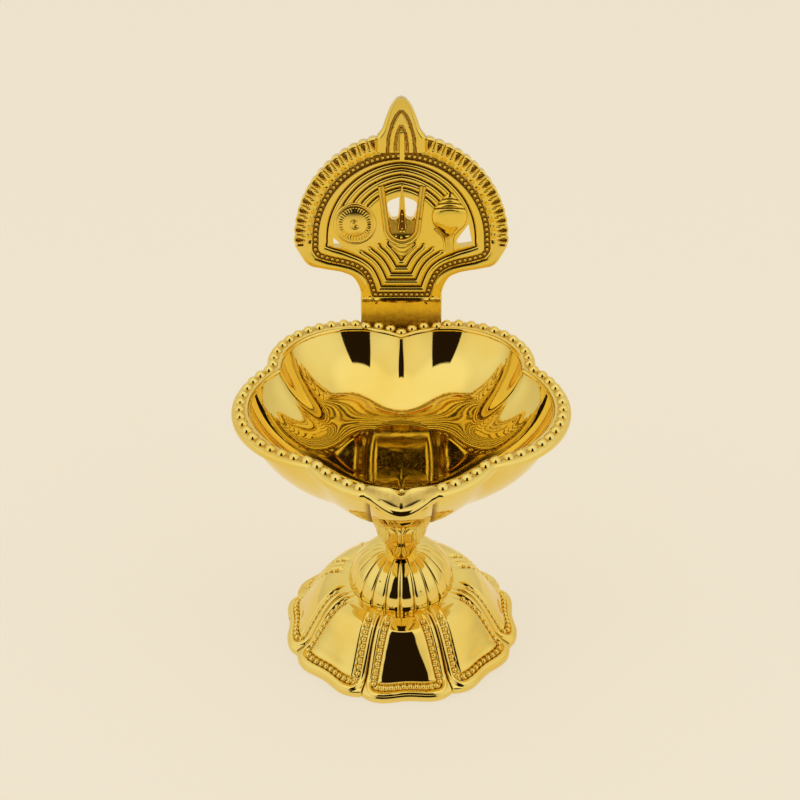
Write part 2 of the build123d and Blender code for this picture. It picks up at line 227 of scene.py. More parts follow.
# Emblems and windows on the plate
MARK_CENTRE = 0.2
SLOT_OUTLINE = ((0.65, 33.5), (3.55, 32.0), (3.0, 28.4), (2.5, 27.5), (1.6, 27.5), (0.8, 30.6))
WHEEL_WINDOW = ((-17.0, 23.0), (-14.3, 20.4), (-17.0, 20.4))
CONCH_WINDOW = ((16.8, 26.5), (17.8, 21.0), (14.6, 20.5), (13.7, 22.1))
WHEEL_CENTRE = (-11.55, 26.6)
WHEEL_RADIUS = 5.4
WHEEL_LEVEL = 0.95
WHEEL_DOMING = 0.5
WHEEL_FOOT = 0.2
WHEEL_RIM_LINE = 4.98
WHEEL_RIM_HALF_WIDTH = 0.42
WHEEL_RIM_RISE = 0.35
WHEEL_GROOVE = 4.5
TICK_COUNT = 34
TICK_START = (3.0, 3.2)
TICK_END = (4.2, 3.9)
TICK_DEPTH = 0.18
SPIRAL_PITCH = 0.75
SPIRAL_EDGE = (1.4, 1.1)
SPIRAL_DEPTH = 0.16
CONCH_CENTRE = 12.0
CONCH_SECTION = (
    (19.4, 1.3), (21.6, 1.3), (23.4, 1.55), (24.6, 2.5), (26.2, 4.0), (28.4, 4.6), (30.3, 4.2),
    (31.8, 3.1), (33.2, 1.9), (34.3, 0.9),
)
CONCH_STRIPES = (30.9, 32.1, 33.2)
CONCH_LIP = ((8.3, 25.3), (9.4, 24.2), (10.3, 23.2), (10.75, 21.6), (10.85, 19.5))
DROP_SECTION = (
    (24.2, 0.15), (24.45, 0.85), (25.2, 1.25), (27.6, 1.0), (30.6, 0.48), (33.5, 0.38), (36.4, 0.34),
)
DROP_STUDS = (25.4, 27.3, 29.1)
MARK_TOP = (5.2, 36.2)
MARK_TURN = (3.86, 24.7)
MARK_FOOT = (0.0, 21.85)
CHEVRON_FEET = (20.3, 19.2, 18.2)
CHEVRON_HALF_WIDTH = 3.6
CHEVRON_RISE = 2.1

# Lug under the rim, on the plate's seat plane
LUG_HALF_WIDTH = 9.1
LUG_TOP = -2.5
LUG_SIDE = -3.3
LUG_DEPTH = -9.3

# Stage
FLOOR_RADII = (120.0, 400.0, 1500.0)
FLOOR_SIDES = 96


class LampFootSettings(bpy.types.PropertyGroup):
    """Sizes of the petal foot and the fluted dome."""

    petals: bpy.props.IntProperty(name="Petals", description="Petals round the foot", default=8, min=3)
    petal_turn: bpy.props.FloatProperty(
        name="Petal turn", description="Plan angle of the first petal's middle", default=radians(3.0),
        subtype="ANGLE",
    )
    bead: bpy.props.FloatProperty(
        name="Bead", description="Diameter of the beads round a petal's panel", default=1.5 * MM,
        unit="LENGTH",
    )
    side_step: bpy.props.FloatProperty(
        name="Side step", description="Spacing of the beads along a petal's sides", default=1.72 * MM,
        unit="LENGTH",
    )
    edge_step: bpy.props.FloatProperty(
        name="Edge step", description="Spacing of the beads along a petal's foot", default=1.6 * MM,
        unit="LENGTH",
    )
    flutes: bpy.props.IntProperty(name="Flutes", description="Flutes round the dome", default=22, min=3)
    flute_turn: bpy.props.FloatProperty(
        name="Flute turn", description="Plan angle of the first flute's middle", default=radians(6.6),
        subtype="ANGLE",
    )
    flute_depth: bpy.props.FloatProperty(
        name="Flute depth", description="Depth of the valleys between the flutes", default=0.6 * MM,
        unit="LENGTH",
    )


class LampBowlSettings(bpy.types.PropertyGroup):
    """Sizes of the oil bowl and its beaded rim."""

    rim_height: bpy.props.FloatProperty(
        name="Rim height", description="Height of the rim's top", default=rim_top, unit="LENGTH"
    )
    rim_width: bpy.props.FloatProperty(
        name="Rim width", description="Width of the rim at the side lobes", default=4.45 * MM, unit="LENGTH"
    )
    lip_dip: bpy.props.FloatProperty(
        name="Lip dip", description="Depth of the wick lip below the rim", default=4.7 * MM, unit="LENGTH"
    )
    fullness: bpy.props.FloatProperty(
        name="Fullness", description="Power of the bowl's section; 2 is an ellipse", default=2.02, min=1.0
    )
    bead: bpy.props.FloatProperty(
        name="Bead", description="Diameter of the rim's beads", default=2.95 * MM, unit="LENGTH"
    )
    bead_step: bpy.props.FloatProperty(
        name="Bead step", description="Spacing of the rim's beads", default=3.2 * MM, unit="LENGTH"
    )
    bead_inset: bpy.props.FloatProperty(
        name="Bead inset", description="Distance of the beads inside the rim's edge", default=1.95 * MM,
        unit="LENGTH",
    )


class LampPlateSettings(bpy.types.PropertyGroup):
    """Sizes of the carved back plate."""

    seat_reach: bpy.props.FloatProperty(
        name="Seat reach", description="Distance of the seat behind the stud's axis", default=38.6 * MM,
        unit="LENGTH",
    )
    lean: bpy.props.FloatProperty(
        name="Lean", description="Backward lean of the plate", default=radians(8.0), subtype="ANGLE"
    )
    relief: bpy.props.FloatProperty(
        name="Relief", description="Height of the carved ridges over the seat", default=0.95 * MM,
        unit="LENGTH",
    )
    scallops: bpy.props.IntProperty(
        name="Scallops", description="Edge loops on each half", default=14, min=3
    )
    bead: bpy.props.FloatProperty(
        name="Bead", description="Diameter of the beads in the frame", default=0.95 * MM, unit="LENGTH"
    )
    bead_step: bpy.props.FloatProperty(
        name="Bead step", description="Spacing of the beads in the frame", default=1.32 * MM, unit="LENGTH"
    )


class LampFinishSettings(bpy.types.PropertyGroup):
    """Colours of the metals."""

    brass: bpy.props.FloatVectorProperty(
        name="Brass", description="Polished brass", default=(0.89, 0.69, 0.19), size=3,
        subtype="COLOR", min=0, max=1,
    )
    warm_brass: bpy.props.FloatVectorProperty(
        name="Warm brass", description="Redder patches of the polished brass", default=(0.87, 0.62, 0.13),
        size=3, subtype="COLOR", min=0, max=1,
    )
    carved: bpy.props.FloatVectorProperty(
        name="Carved brass", description="Deeper brass of the carved plate", default=(0.87, 0.61, 0.08),
        size=3, subtype="COLOR", min=0, max=1,
    )
    # Colour of the patina in the recesses, also used as painted shade under the rim, round the beads,
    # between petals and flutes and beside the spout leaf, and as a painted dark reflection along the leaf's
    # keel
    patina_and_shade: bpy.props.FloatVectorProperty(
        name="Patina", description="Darkened brass in the recesses", default=(0.23, 0.09, 0.009), size=3,
        subtype="COLOR", min=0, max=1,
    )
    plated_steel: bpy.props.FloatVectorProperty(
        name="Plated steel", description="Zinc plated fasteners", default=(0.56, 0.54, 0.50), size=3,
        subtype="COLOR", min=0, max=1,
    )


class LampStageSettings(bpy.types.PropertyGroup):
    """Floor, light and camera."""

    backdrop: bpy.props.FloatVectorProperty(
        name="Backdrop", description="Cream of the floor and the backdrop", default=(0.863, 0.776, 0.617),
        size=3, subtype="COLOR", min=0, max=1,
    )
    tent: bpy.props.FloatProperty(
        name="Tent", description="Strength of the white tent round the lamp", default=0.84, min=0.0
    )
    softbox: bpy.props.FloatProperty(
        name="Softbox", description="Power of each large softbox", default=0.35, unit="POWER", min=0.0
    )
    camera_distance: bpy.props.FloatProperty(
        name="Camera distance", description="Camera's distance in front of the stud", default=0.3,
        unit="LENGTH",
    )
    camera_height: bpy.props.FloatProperty(
        name="Camera height", description="Camera's height over the floor", default=0.253, unit="LENGTH"
    )
    camera_dip: bpy.props.FloatProperty(
        name="Camera dip", description="Angle that the camera looks down", default=radians(31.8),
        subtype="ANGLE",
    )


def smoothstep(low, high, value):
    """Share of the way from low to high, with a level start and end."""
    share = np.clip((value - low) / (high - low), 0.0, 1.0)
    return share * share * (3.0 - 2.0 * share)


def roll(distance, half_width):
    """Round ridge: 1 on its line, falling as a circle does to 0 at half_width."""
    return np.sqrt(np.clip(1.0 - (distance / half_width) ** 2, 0.0, 1.0))


def smooth_curve(points, count):
    """Even samples of a curve through the points: cubic pieces, sloped by the neighbouring points."""
    points = np.asarray(points, float)
    steps = np.linalg.norm(np.diff(points, axis=0), axis=1)
    knots = np.concatenate([[0.0], np.cumsum(steps)])
    slopes = np.gradient(points, knots, axis=0)
    at = np.linspace(0.0, knots[-1], count)
    piece = np.clip(np.searchsorted(knots, at, side="right") - 1, 0, len(steps) - 1)
    width = steps[piece][:, None]
    t = (at - knots[piece])[:, None] / width
    start = (2 * t**3 - 3 * t**2 + 1) * points[piece] + (t**3 - 2 * t**2 + t) * width * slopes[piece]
    end = (3 * t**2 - 2 * t**3) * points[piece + 1] + (t**3 - t**2) * width * slopes[piece + 1]
    return start + end


def arc_through(first, middle, last, count):
    """Even samples of the circular arc from first over middle to last."""
    corners = np.array([first, middle, last], float)
    x, y = corners.T
    squares = x**2 + y**2
    doubled = 2.0 * np.sum(x * (np.roll(y, -1) - np.roll(y, 1)))
    centre_x = np.sum(squares * (np.roll(y, -1) - np.roll(y, 1))) / doubled
    centre_y = np.sum(squares * (np.roll(x, 1) - np.roll(x, -1))) / doubled
    angles = np.arctan2(y - centre_y, x - centre_x)
    turns = (angles - angles[0]) % (2.0 * pi)
    sweep = turns[2] if turns[1] < turns[2] else turns[2] - 2.0 * pi
    along = angles[0] + np.linspace(0.0, sweep, count)
    radius = np.hypot(x[0] - centre_x, y[0] - centre_y)
    return np.column_stack([centre_x + radius * np.cos(along), centre_y + radius * np.sin(along)])


def path_lengths(points):
    """Distance along a line of points, from its start to each of them."""
    steps = np.linalg.norm(np.diff(points, axis=0), axis=1)
    return np.concatenate([[0.0], np.cumsum(steps)])


def even_places(points, step, margin=0.0):
    """Places along a line of points, as near to one step apart as the line's length allows."""
    lengths = path_lengths(points)
    count = max(2, int(round((lengths[-1] - 2.0 * margin) / step)) + 1)
    at = np.linspace(margin, lengths[-1] - margin, count)
    return np.column_stack([np.interp(at, lengths, column) for column in points.T])


def grid_faces(rows, columns, closed=True):
    """Four-cornered faces between neighbouring rows and columns, round to the first where closed."""
    index = np.arange(rows * columns).reshape(rows, columns)
    left = index if closed else index[:, :-1]
    right = np.roll(index, -1, axis=1) if closed else index[:, 1:]
    return np.stack([left[:-1], right[:-1], right[1:], left[1:]], axis=-1).reshape(-1, 4)


def pole_faces(rows, columns):
    """Three-cornered faces from a grid's first and last rows to two poles, numbered after the grid."""
    first = np.arange(columns)
    last = first + (rows - 1) * columns
    start = np.stack([np.roll(first, -1), first, np.full(columns, rows * columns)], axis=-1)
    end = np.stack([last, np.roll(last, -1), np.full(columns, rows * columns + 1)], axis=-1)
    return np.concatenate([start, end])


def outward(points, quads, triangles):
    """Faces turned so that a closed shell's signed volume is positive."""
    split = np.concatenate([quads[:, [0, 1, 2]], quads[:, [0, 2, 3]], triangles])
    a, b, c = (points[split[:, corner]] for corner in range(3))
    if np.sum(a * np.cross(b, c)) >= 0.0:
        return quads, triangles
    return quads[:, ::-1], triangles[:, ::-1]


def finish_name(slot):
    """Name of the material made here for a slot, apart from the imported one."""
    return f"{slot}_finish"


def add_piece(name, body, slot, points, quads, triangles, recess, sharp=50.0):
    """Object from points in millimetres, with its recess depths as an attribute that paints patina and
    painted shade, riding on a body.
    """
    quads, triangles = outward(points, quads, triangles)
    corners = np.concatenate([quads.ravel(), triangles.ravel()]).astype(np.int32)
    counts = np.concatenate([np.full(len(quads), 4), np.full(len(triangles), 3)])
    starts = np.concatenate([[0], np.cumsum(counts)[:-1]]).astype(np.int32)
    mesh = bpy.data.meshes.new(name)
    mesh.vertices.add(len(points))
    mesh.vertices.foreach_set("co", (points * MM).astype(np.float32).ravel())
    mesh.loops.add(len(corners))
    mesh.loops.foreach_set("vertex_index", corners)
    mesh.polygons.add(len(counts))
    mesh.polygons.foreach_set("loop_start", starts)
    mesh.update(calc_edges=True)
    mesh.polygons.foreach_set("use_smooth", np.ones(len(counts), bool))
    depth = mesh.attributes.new("recess", "FLOAT", "POINT")
    depth.data.foreach_set("value", np.asarray(recess, np.float32).ravel())
    mesh.set_sharp_from_angle(angle=radians(sharp))
    if mesh.validate():
        raise RuntimeError(f"{name} has broken faces")
    piece = bpy.data.objects.new(name, mesh)
    bpy.context.scene.collection.objects.link(piece)
    mesh.materials.append(bpy.data.materials[finish_name(slot)])
    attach(piece, body)
    return piece


def add_shell(name, body, slot, rows, poles, recess, sharp=50.0):
    """Closed shell from rows of ring points, with a pole before the first ring and one after the last."""
    count, columns = rows.shape[:2]
    points = np.concatenate([rows.reshape(-1, 3), np.asarray(poles, float)])
    depth = np.broadcast_to(recess, (count, columns))
    depth = np.concatenate([depth.ravel(), [depth[0].mean(), depth[-1].mean()]])
    quads = grid_faces(count, columns)
    return add_piece(name, body, slot, points, quads, pole_faces(count, columns), depth, sharp)


def add_ring(name, body, slot, rows, recess, sharp=50.0):
    """Closed ring-shaped shell: the last row of points joins the first."""
    count, columns = rows.shape[:2]
    looped = grid_faces(count + 1, columns) % (count * columns)
    depth = np.broadcast_to(recess, (count, columns))
    none = np.zeros((0, 3), int)
    return add_piece(name, body, slot, rows.reshape(-1, 3), looped, none, depth, sharp)


def add_beads(name, body, slot, centres, normals, radius, depth=0.8):
    """Beads as balls of three rings and two poles, each sunk a little into what carries it."""
    sides = 10
    dips = np.radians((30.0, 64.0, 104.0))
    turns = np.arange(sides) * 2.0 * pi / sides
    wide = np.sin(dips)[:, None]
    level = np.cos(dips)[:, None]
    ring = np.stack(np.broadcast_arrays(wide * np.cos(turns), wide * np.sin(turns), level), axis=-1)
    ball = np.concatenate([ring.reshape(-1, 3), [[0.0, 0.0, 1.0], [0.0, 0.0, -0.5]]])
    normals = normals / np.linalg.norm(normals, axis=1, keepdims=True)
    across = np.cross(normals, (0.31, 0.95, 0.05))
    across = across / np.linalg.norm(across, axis=1, keepdims=True)
    along = np.cross(normals, across)
    axes = np.stack([across, along, normals], axis=1)
    points = (centres[:, None, :] + radius * np.einsum("pk,bkd->bpd", ball, axes)).reshape(-1, 3)
    first = np.arange(len(centres))[:, None, None] * len(ball)
    quads = (first + grid_faces(3, sides)).reshape(-1, 4)
    triangles = (first + pole_faces(3, sides)).reshape(-1, 3)
    # The lower ring and the bottom pole get the recess depth: painted shade round each bead's foot
    sunk = np.concatenate([np.repeat((0.0, 0.15 * depth, depth), sides), [0.0, depth]])
    return add_piece(name, body, slot, points, quads, triangles, np.tile(sunk, len(centres)), 180.0)


def node_group(name, inputs, outputs):
    """Empty shader node group with named sockets, each given as (name, type, default)."""
    group = bpy.data.node_groups.new(name, "ShaderNodeTree")
    for label, kind, default in inputs:
        socket = group.interface.new_socket(label, in_out="INPUT", socket_type=kind)
        if default is not None:
            socket.default_value = default
    for label, kind in outputs:
        group.interface.new_socket(label, in_out="OUTPUT", socket_type=kind)
    return group


def add_node(tree, kind, settings=None, **values):
    """Node with its settings and the values of its unlinked inputs."""
    node = tree.nodes.new(kind)
    for key, value in (settings or {}).items():
        setattr(node, key, value)
    for label, value in values.items():
        node.inputs[label.replace("_", " ")].default_value = value
    return node


def add_math(tree, operation, first, second, clamp=False):
    """Math node on two sockets or numbers, and its output."""
    node = add_node(tree, "ShaderNodeMath", {"operation": operation, "use_clamp": clamp})
    for place, value in enumerate((first, second)):
        if isinstance(value, (int, float)):
            node.inputs[place].default_value = value
        else:
            tree.links.new(value, node.inputs[place])
    return node.outputs[0]


def add_mix(tree, factor, first, second):
    """Colour mix of two sockets or colours, and its output."""
    node = add_node(tree, "ShaderNodeMix", {"data_type": "RGBA"})
    for label, value in (("Factor_Float", factor), ("A_Color", first), ("B_Color", second)):
        socket = next(s for s in node.inputs if s.identifier == label)
        if isinstance(value, bpy.types.NodeSocket):
            tree.links.new(value, socket)
        else:
            socket.default_value = (*value, 1.0) if label != "Factor_Float" else value
    return next(s for s in node.outputs if s.identifier == "Result_Color")


def add_ramp(tree, value, low, high):
    """Range of a value from low to high, spread over 0 to 1 and clamped."""
    node = add_node(tree, "ShaderNodeMapRange", {"clamp": True, "interpolation_type": "SMOOTHSTEP"})
    tree.links.new(value, node.inputs["Value"])
    node.inputs["From Min"].default_value = low
    node.inputs["From Max"].default_value = high
    return node.outputs["Result"]


def add_stretch(tree, vector, scale):
    """Coordinates stretched by a scale in each direction."""
    node = add_node(tree, "ShaderNodeMapping", {"vector_type": "POINT"}, Scale=scale)
    tree.links.new(vector, node.inputs["Vector"])
    return node.outputs["Vector"]


def add_noise(tree, vector, scale, detail, roughness=0.55):
    """Noise on coordinates, and its grey output."""
    node = add_node(tree, "ShaderNodeTexNoise", None, Scale=scale, Detail=detail, Roughness=roughness)
    tree.links.new(vector, node.inputs["Vector"])
    return node.outputs["Fac"]


def make_polish_group():
    """Marks of hand polishing: warm patches, haze, hair scratches two ways and a few casting pits."""
    labels = ("Patches", "Haze", "Pits", "Height")
    group = node_group(
        "Hand polish",
        (("Vector", "NodeSocketVector", None),),
        [(label, "NodeSocketFloat") for label in labels],
    )
    start = group.nodes.new("NodeGroupInput")
    end = group.nodes.new("NodeGroupOutput")
    vector = start.outputs["Vector"]
    patches = add_ramp(group, add_noise(group, vector, 55.0, 3.0), 0.38, 0.68)
    haze = add_ramp(group, add_noise(group, vector, 190.0, 4.0), 0.42, 0.75)
    rising = add_noise(group, add_stretch(group, vector, (2600.0, 2600.0, 70.0)), 1.0, 2.0)
    level = add_noise(group, add_stretch(group, vector, (90.0, 90.0, 3000.0)), 1.0, 2.0)
    scratches = add_ramp(group, add_math(group, "MAXIMUM", rising, level), 0.62, 0.8)
    cells = add_node(group, "ShaderNodeTexVoronoi", {"feature": "F1"}, Scale=210.0)
    group.links.new(vector, cells.inputs["Vector"])
    rare = add_node(group, "ShaderNodeSeparateColor")
    group.links.new(cells.outputs["Color"], rare.inputs["Color"])
    near = add_ramp(group, cells.outputs["Distance"], 0.085, 0.04)
    pits = add_math(group, "MULTIPLY", near, add_ramp(group, rare.outputs["Red"], 0.84, 0.9))
    ripple = add_math(group, "MULTIPLY", add_noise(group, vector, 130.0, 2.0), 0.5)
    scored = add_math(group, "SUBTRACT", ripple, add_math(group, "MULTIPLY", scratches, 0.06))
    height = add_math(group, "SUBTRACT", scored, add_math(group, "MULTIPLY", pits, 0.5))
    for label, socket in zip(labels, (patches, haze, pits, height)):
        group.links.new(socket, end.inputs[label])
    return group


def make_recess_group():
    """Darkening of recesses, as patina and painted shade: the piece's own recess depth, broken up by fine
    noise.
    """
    group = node_group(
        "Recess patina",
        (("Vector", "NodeSocketVector", None), ("Depth", "NodeSocketFloat", 0.0)),
        (("Mask", "NodeSocketFloat"),),
    )
    start = group.nodes.new("NodeGroupInput")
    end = group.nodes.new("NodeGroupOutput")
    grain = add_noise(group, start.outputs["Vector"], 900.0, 3.0)
    shifted = add_math(group, "ADD", start.outputs["Depth"], add_math(group, "MULTIPLY", grain, 0.2))
    group.links.new(add_ramp(group, shifted, 0.3, 1.05), end.inputs["Mask"])
    return group


def metal_material(slot, bright, warm, patina_and_shade, smooth, hazy, dull, bump):
    """Metal with polishing marks, and recesses darkened by patina and painted shade; smooth, hazy and dull
    are roughness values.
    """
    material = bpy.data.materials.new(finish_name(slot))
    material.use_nodes = True
    tree = material.node_tree
    shader = tree.nodes["Principled BSDF"]
    shader.inputs["Metallic"].default_value = 1.0
    place = add_node(tree, "ShaderNodeTexCoord")
    polish = add_node(tree, "ShaderNodeGroup", {"node_tree": bpy.data.node_groups["Hand polish"]})
    tree.links.new(place.outputs["Object"], polish.inputs["Vector"])
    carved = add_node(tree, "ShaderNodeAttribute", {"attribute_name": "recess"})
    darkening = add_node(tree, "ShaderNodeGroup", {"node_tree": bpy.data.node_groups["Recess patina"]})
    tree.links.new(place.outputs["Object"], darkening.inputs["Vector"])
    tree.links.new(carved.outputs["Fac"], darkening.inputs["Depth"])
    # Mask of patina and painted shade: the recess attribute with the casting pits; it darkens the colour and
    # dulls the roughness
    mask = add_math(tree, "MAXIMUM", darkening.outputs["Mask"], polish.outputs["Pits"])
    toned = add_mix(tree, polish.outputs["Patches"], bright, warm)
    tree.links.new(add_mix(tree, mask, toned, patina_and_shade), shader.inputs["Base Color"])
    haze = add_math(tree, "MULTIPLY", polish.outputs["Haze"], hazy - smooth)
    hazed = add_math(tree, "ADD", haze, smooth)
    dulled = add_math(tree, "ADD", hazed, add_math(tree, "MULTIPLY", mask, dull - smooth), clamp=True)
    tree.links.new(dulled, shader.inputs["Roughness"])
    surface = add_node(tree, "ShaderNodeBump", None, Strength=1.0, Distance=bump)
    tree.links.new(polish.outputs["Height"], surface.inputs["Height"])
    tree.links.new(surface.outputs["Normal"], shader.inputs["Normal"])
    return material


class LAMP_OT_finishes(bpy.types.Operator):
    """Make the brass and steel materials, and put them on the CAD fasteners that stay visible"""

    bl_idname = "lamp.finishes"
    bl_label = "Finishes"

    def execute(self, context):
        finish = context.scene.lamp_finish
        make_polish_group()
        make_recess_group()
        brass, warm, patina_and_shade = tuple(finish.brass), tuple(finish.warm_brass), tuple(finish.patina_and_shade)
        metal_material("polished_brass", brass, warm, patina_and_shade, 0.025, 0.06, 0.4, 0.00002)
        metal_material("carved_brass", tuple(finish.carved), warm, patina_and_shade, 0.1, 0.18, 0.5, 0.00003)
        metal_material("rivet_brass", brass, warm, patina_and_shade, 0.22, 0.38, 0.6, 0.0001)
        steel = tuple(finish.plated_steel)
        shaded_steel = tuple(0.9 * part for part in steel)
        metal_material("plated_steel", steel, shaded_steel, patina_and_shade, 0.32, 0.48, 0.6, 0.00006)
        kept = {
            "plate_rivets": "rivet_brass",
            "stud": "plated_steel",
            "crown_washer": "plated_steel",
            "hex_nut": "plated_steel",
        }
        for node, slot in kept.items():
            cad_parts[node].data.materials.clear()
            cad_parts[node].data.materials.append(bpy.data.materials[finish_name(slot)])
        return {"FINISHED"}


def bell_line():
    """The foot's half section as lengths from its top, points (radius, height) and outward normals."""
    line = np.concatenate([smooth_curve(BELL_SECTION[:3], 40)[:-1], smooth_curve(BELL_SECTION[2:], 400)])
    lengths = path_lengths(line)
    slopes = np.gradient(line, lengths, axis=0)
    normals = np.column_stack([-slopes[:, 1], slopes[:, 0]])
    return lengths, line, normals


def petal_edge(angle, half_pitch):
    """Radius of the foot's edge: dipped at a petal's middle, full at its corners, notched between."""
    corner = half_pitch * EDGE_CORNER_SHARE
    rise = (1.0 - np.cos(pi * np.minimum(angle, corner) / corner)) / 2.0
    fall = (np.maximum(angle - corner, 0.0) / (half_pitch - corner)) ** 2
    crest = EDGE_DIP_RADIUS + (EDGE_CORNER_RADIUS - EDGE_DIP_RADIUS) * rise
    return crest - (EDGE_CORNER_RADIUS - EDGE_VALLEY_RADIUS) * fall


def foot_surface(length, angle, half_pitch):
    """Point of the foot for a length down the bell and an angle from a petal's middle, and its recess.

    The bell's section is stretched to the petal's edge and raised along its normal by the border's
    relief, which depends on the distance from the petal's sides and edge, joined by rounded corners.
    """
    lengths, line, normals = bell_line()
    off = np.abs(angle)
    share = length / lengths[-1]
    radius = np.interp(length, lengths, line[:, 0])
    height = np.interp(length, lengths, line[:, 1])
    stretch = petal_edge(off, half_pitch) / EDGE_CORNER_RADIUS - 1.0
    radius = radius * (1.0 + stretch * smoothstep(0.6, 1.0, share))
    facet = -PETAL_FLATTENING * (1.0 / np.cos(angle) - 1.0)
    radius = radius * (1.0 + facet * smoothstep(0.4, 0.6, share) * (1.0 - smoothstep(0.86, 0.99, share)))
    side = radius * (half_pitch - off)
    edge = (lengths[-1] - length) * BEAD_LINE / EDGE_BEAD_LINE
    corner_x = np.maximum(BORDER_CORNER - side, 0.0)
    corner_y = np.maximum(BORDER_CORNER - edge, 0.0)
    in_corner = (corner_x > 0.0) & (corner_y > 0.0)
    rounded = BORDER_CORNER - np.hypot(corner_x, corner_y)
    distance = np.where(in_corner, rounded, np.minimum(side, edge))
    gap = 1.0 - smoothstep(*GAP_EDGE, side)
    channel = smoothstep(*CHANNEL_START, distance) * (1.0 - smoothstep(*CHANNEL_END, distance))
    relief = BORDER_RISE * roll(distance - BORDER_LINE, BORDER_HALF_WIDTH) - GAP_DEPTH * gap
    relief = relief - CHANNEL_DEPTH * channel + PANEL_RISE * smoothstep(*PANEL_EDGE, distance)
    beyond_dome = smoothstep(*RELIEF_START, radius)
    relief = relief * beyond_dome
    radius = radius + relief * np.interp(length, lengths, normals[:, 0])
    height = height + relief * np.interp(length, lengths, normals[:, 1])
    # Painted shade in the gaps between the petals, and patina with painted shade in the channel inside the
    # border
    recess = np.maximum(0.95 * gap, 0.38 * channel) * beyond_dome
    return np.stack([radius * np.sin(angle), -radius * np.cos(angle), height], axis=-1), recess


def rings_about_axis(section, around):
    """Rows of points round the stud's axis, one for each radius and height of a half section."""
    radius, height = (part[:, None] for part in np.asarray(section, float).T)
    plan = (radius * np.cos(around), radius * np.sin(around), height)
    return np.stack(np.broadcast_arrays(*plan), axis=-1)


def turned(points, angle):
    """Points turned about the stud's axis, towards +X from the spout's side."""
    x, y, z = np.moveaxis(points, -1, 0)
    cosine, sine = np.cos(angle), np.sin(angle)
    return np.stack([x * cosine - y * sine, x * sine + y * cosine, z], axis=-1)


def petal_bead_line(half_pitch):
    """Lengths and angles of half a petal's two bead rows.

    One runs from the middle of the petal's edge round its corner, and the other up its side.
    """
    lengths, line, _ = bell_line()
    bend = BORDER_CORNER - BEAD_LINE
    turn = np.linspace(pi / 2.0, 0.0, 12)
    top = np.interp(BORDER_TOP_RADIUS, line[:, 0], lengths)
    edge_scale = EDGE_BEAD_LINE / BEAD_LINE
    corner_top = lengths[-1] - BORDER_CORNER * edge_scale
    half_width = np.interp(lengths[-1] - EDGE_BEAD_LINE, lengths, line[:, 0]) * half_pitch
    foot_side = np.linspace(half_width, BORDER_CORNER, 20)
    foot = np.column_stack([np.full(20, lengths[-1] - EDGE_BEAD_LINE), foot_side])
    corner_length = lengths[-1] - (BORDER_CORNER - bend * np.sin(turn)) * edge_scale
    corner = np.column_stack([corner_length, BORDER_CORNER - bend * np.cos(turn)])
    up = np.linspace(corner_top, top, 40)
    side = np.column_stack([up, np.full(40, BEAD_LINE)])
    rows = []
    for length, inset in (np.concatenate([foot, corner[1:]]).T, side.T):
        radius = np.interp(length, lengths, line[:, 0])
        rows.append(np.column_stack([length, half_pitch - inset / radius]))
    return rows


class LAMP_OT_foot(bpy.types.Operator):
    """Petal foot with rolled borders, and the bead rows round its panels"""

    bl_idname = "lamp.foot"
    bl_label = "Petal foot"

    def execute(self, context):
        settings = context.scene.lamp_foot
        half_pitch = pi / settings.petals
        reach = bell_line()[0][-1]
        side = np.linspace(0.0, 1.0, 41)[:-1]
        half = half_pitch * (1.0 - (1.0 - side) ** 1.6)
        angles = np.concatenate([-half[:0:-1], half, [half_pitch]])
        crown = np.linspace(0.0, 0.36, 8)[:-1]
        flank = np.linspace(0.36, 0.74, 34)[:-1]
        share = np.concatenate([crown, flank, np.linspace(0.74, 1.0, 52)])
        grid_length, grid_angle = np.meshgrid(share * reach, angles, indexing="ij")
        petal, recess = foot_surface(grid_length, grid_angle, half_pitch)
        turns = settings.petal_turn + 2.0 * half_pitch * np.arange(settings.petals)
        top = np.concatenate([turned(petal, turn) for turn in turns], axis=1)
        depth = np.concatenate([recess] * settings.petals, axis=1)
        columns = top.shape[1]
        edge = top[-1]
        rim = [edge * (width, width, height) for width, height in EDGE_SECTION]
        around = np.arctan2(edge[:, 1], edge[:, 0])
        hollow = rings_about_axis(smooth_curve(HOLLOW_SECTION, 26), around)
        rows = np.concatenate([top, np.array(rim), hollow])
        smooth_rim = np.zeros((len(rim), columns))
        dull_hollow = np.full((len(hollow), columns), 0.45)
        depth = np.concatenate([depth, smooth_rim, dull_hollow])
        foot = add_ring("foot_petals", "foot", "polished_brass", rows, depth, 60.0)
        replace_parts(foot, "petal_foot")
        self.add_bead_rows(settings, half_pitch, turns)
        return {"FINISHED"}

    def add_bead_rows(self, settings, half_pitch, turns):
        radius = settings.bead / MM / 2.0
        centres = []
        normals = []
        steps = (settings.edge_step / MM, settings.side_step / MM)
        for row, step in zip(petal_bead_line(half_pitch), steps):
            surface, _ = foot_surface(row[:, 0], row[:, 1], half_pitch)
            lengths = path_lengths(surface)
            count = int(round(lengths[-1] / step))
            at = (np.arange(count) + 0.5) * lengths[-1] / count
            place = np.column_stack([np.interp(at, lengths, column) for column in row.T])
            for flip in (1.0, -1.0):
                length, angle = place[:, 0], place[:, 1] * flip
                middle = foot_surface(length, angle, half_pitch)[0]
                down = foot_surface(length + 0.05, angle, half_pitch)[0] - middle
                across = foot_surface(length, angle + 0.002, half_pitch)[0] - middle
                normal = np.cross(across, down)
                normal = normal * np.sign(normal[:, 2:])
                normal = normal / np.linalg.norm(normal, axis=1, keepdims=True)
                for turn in turns:
                    centres.append(turned(middle + FOOT_BEAD_RISE * normal, turn))
                    normals.append(turned(normal, turn))
        centres, normals = np.concatenate(centres), np.concatenate(normals)
        add_beads("foot_beads", "foot", "polished_brass", centres, normals, radius, 0.7)


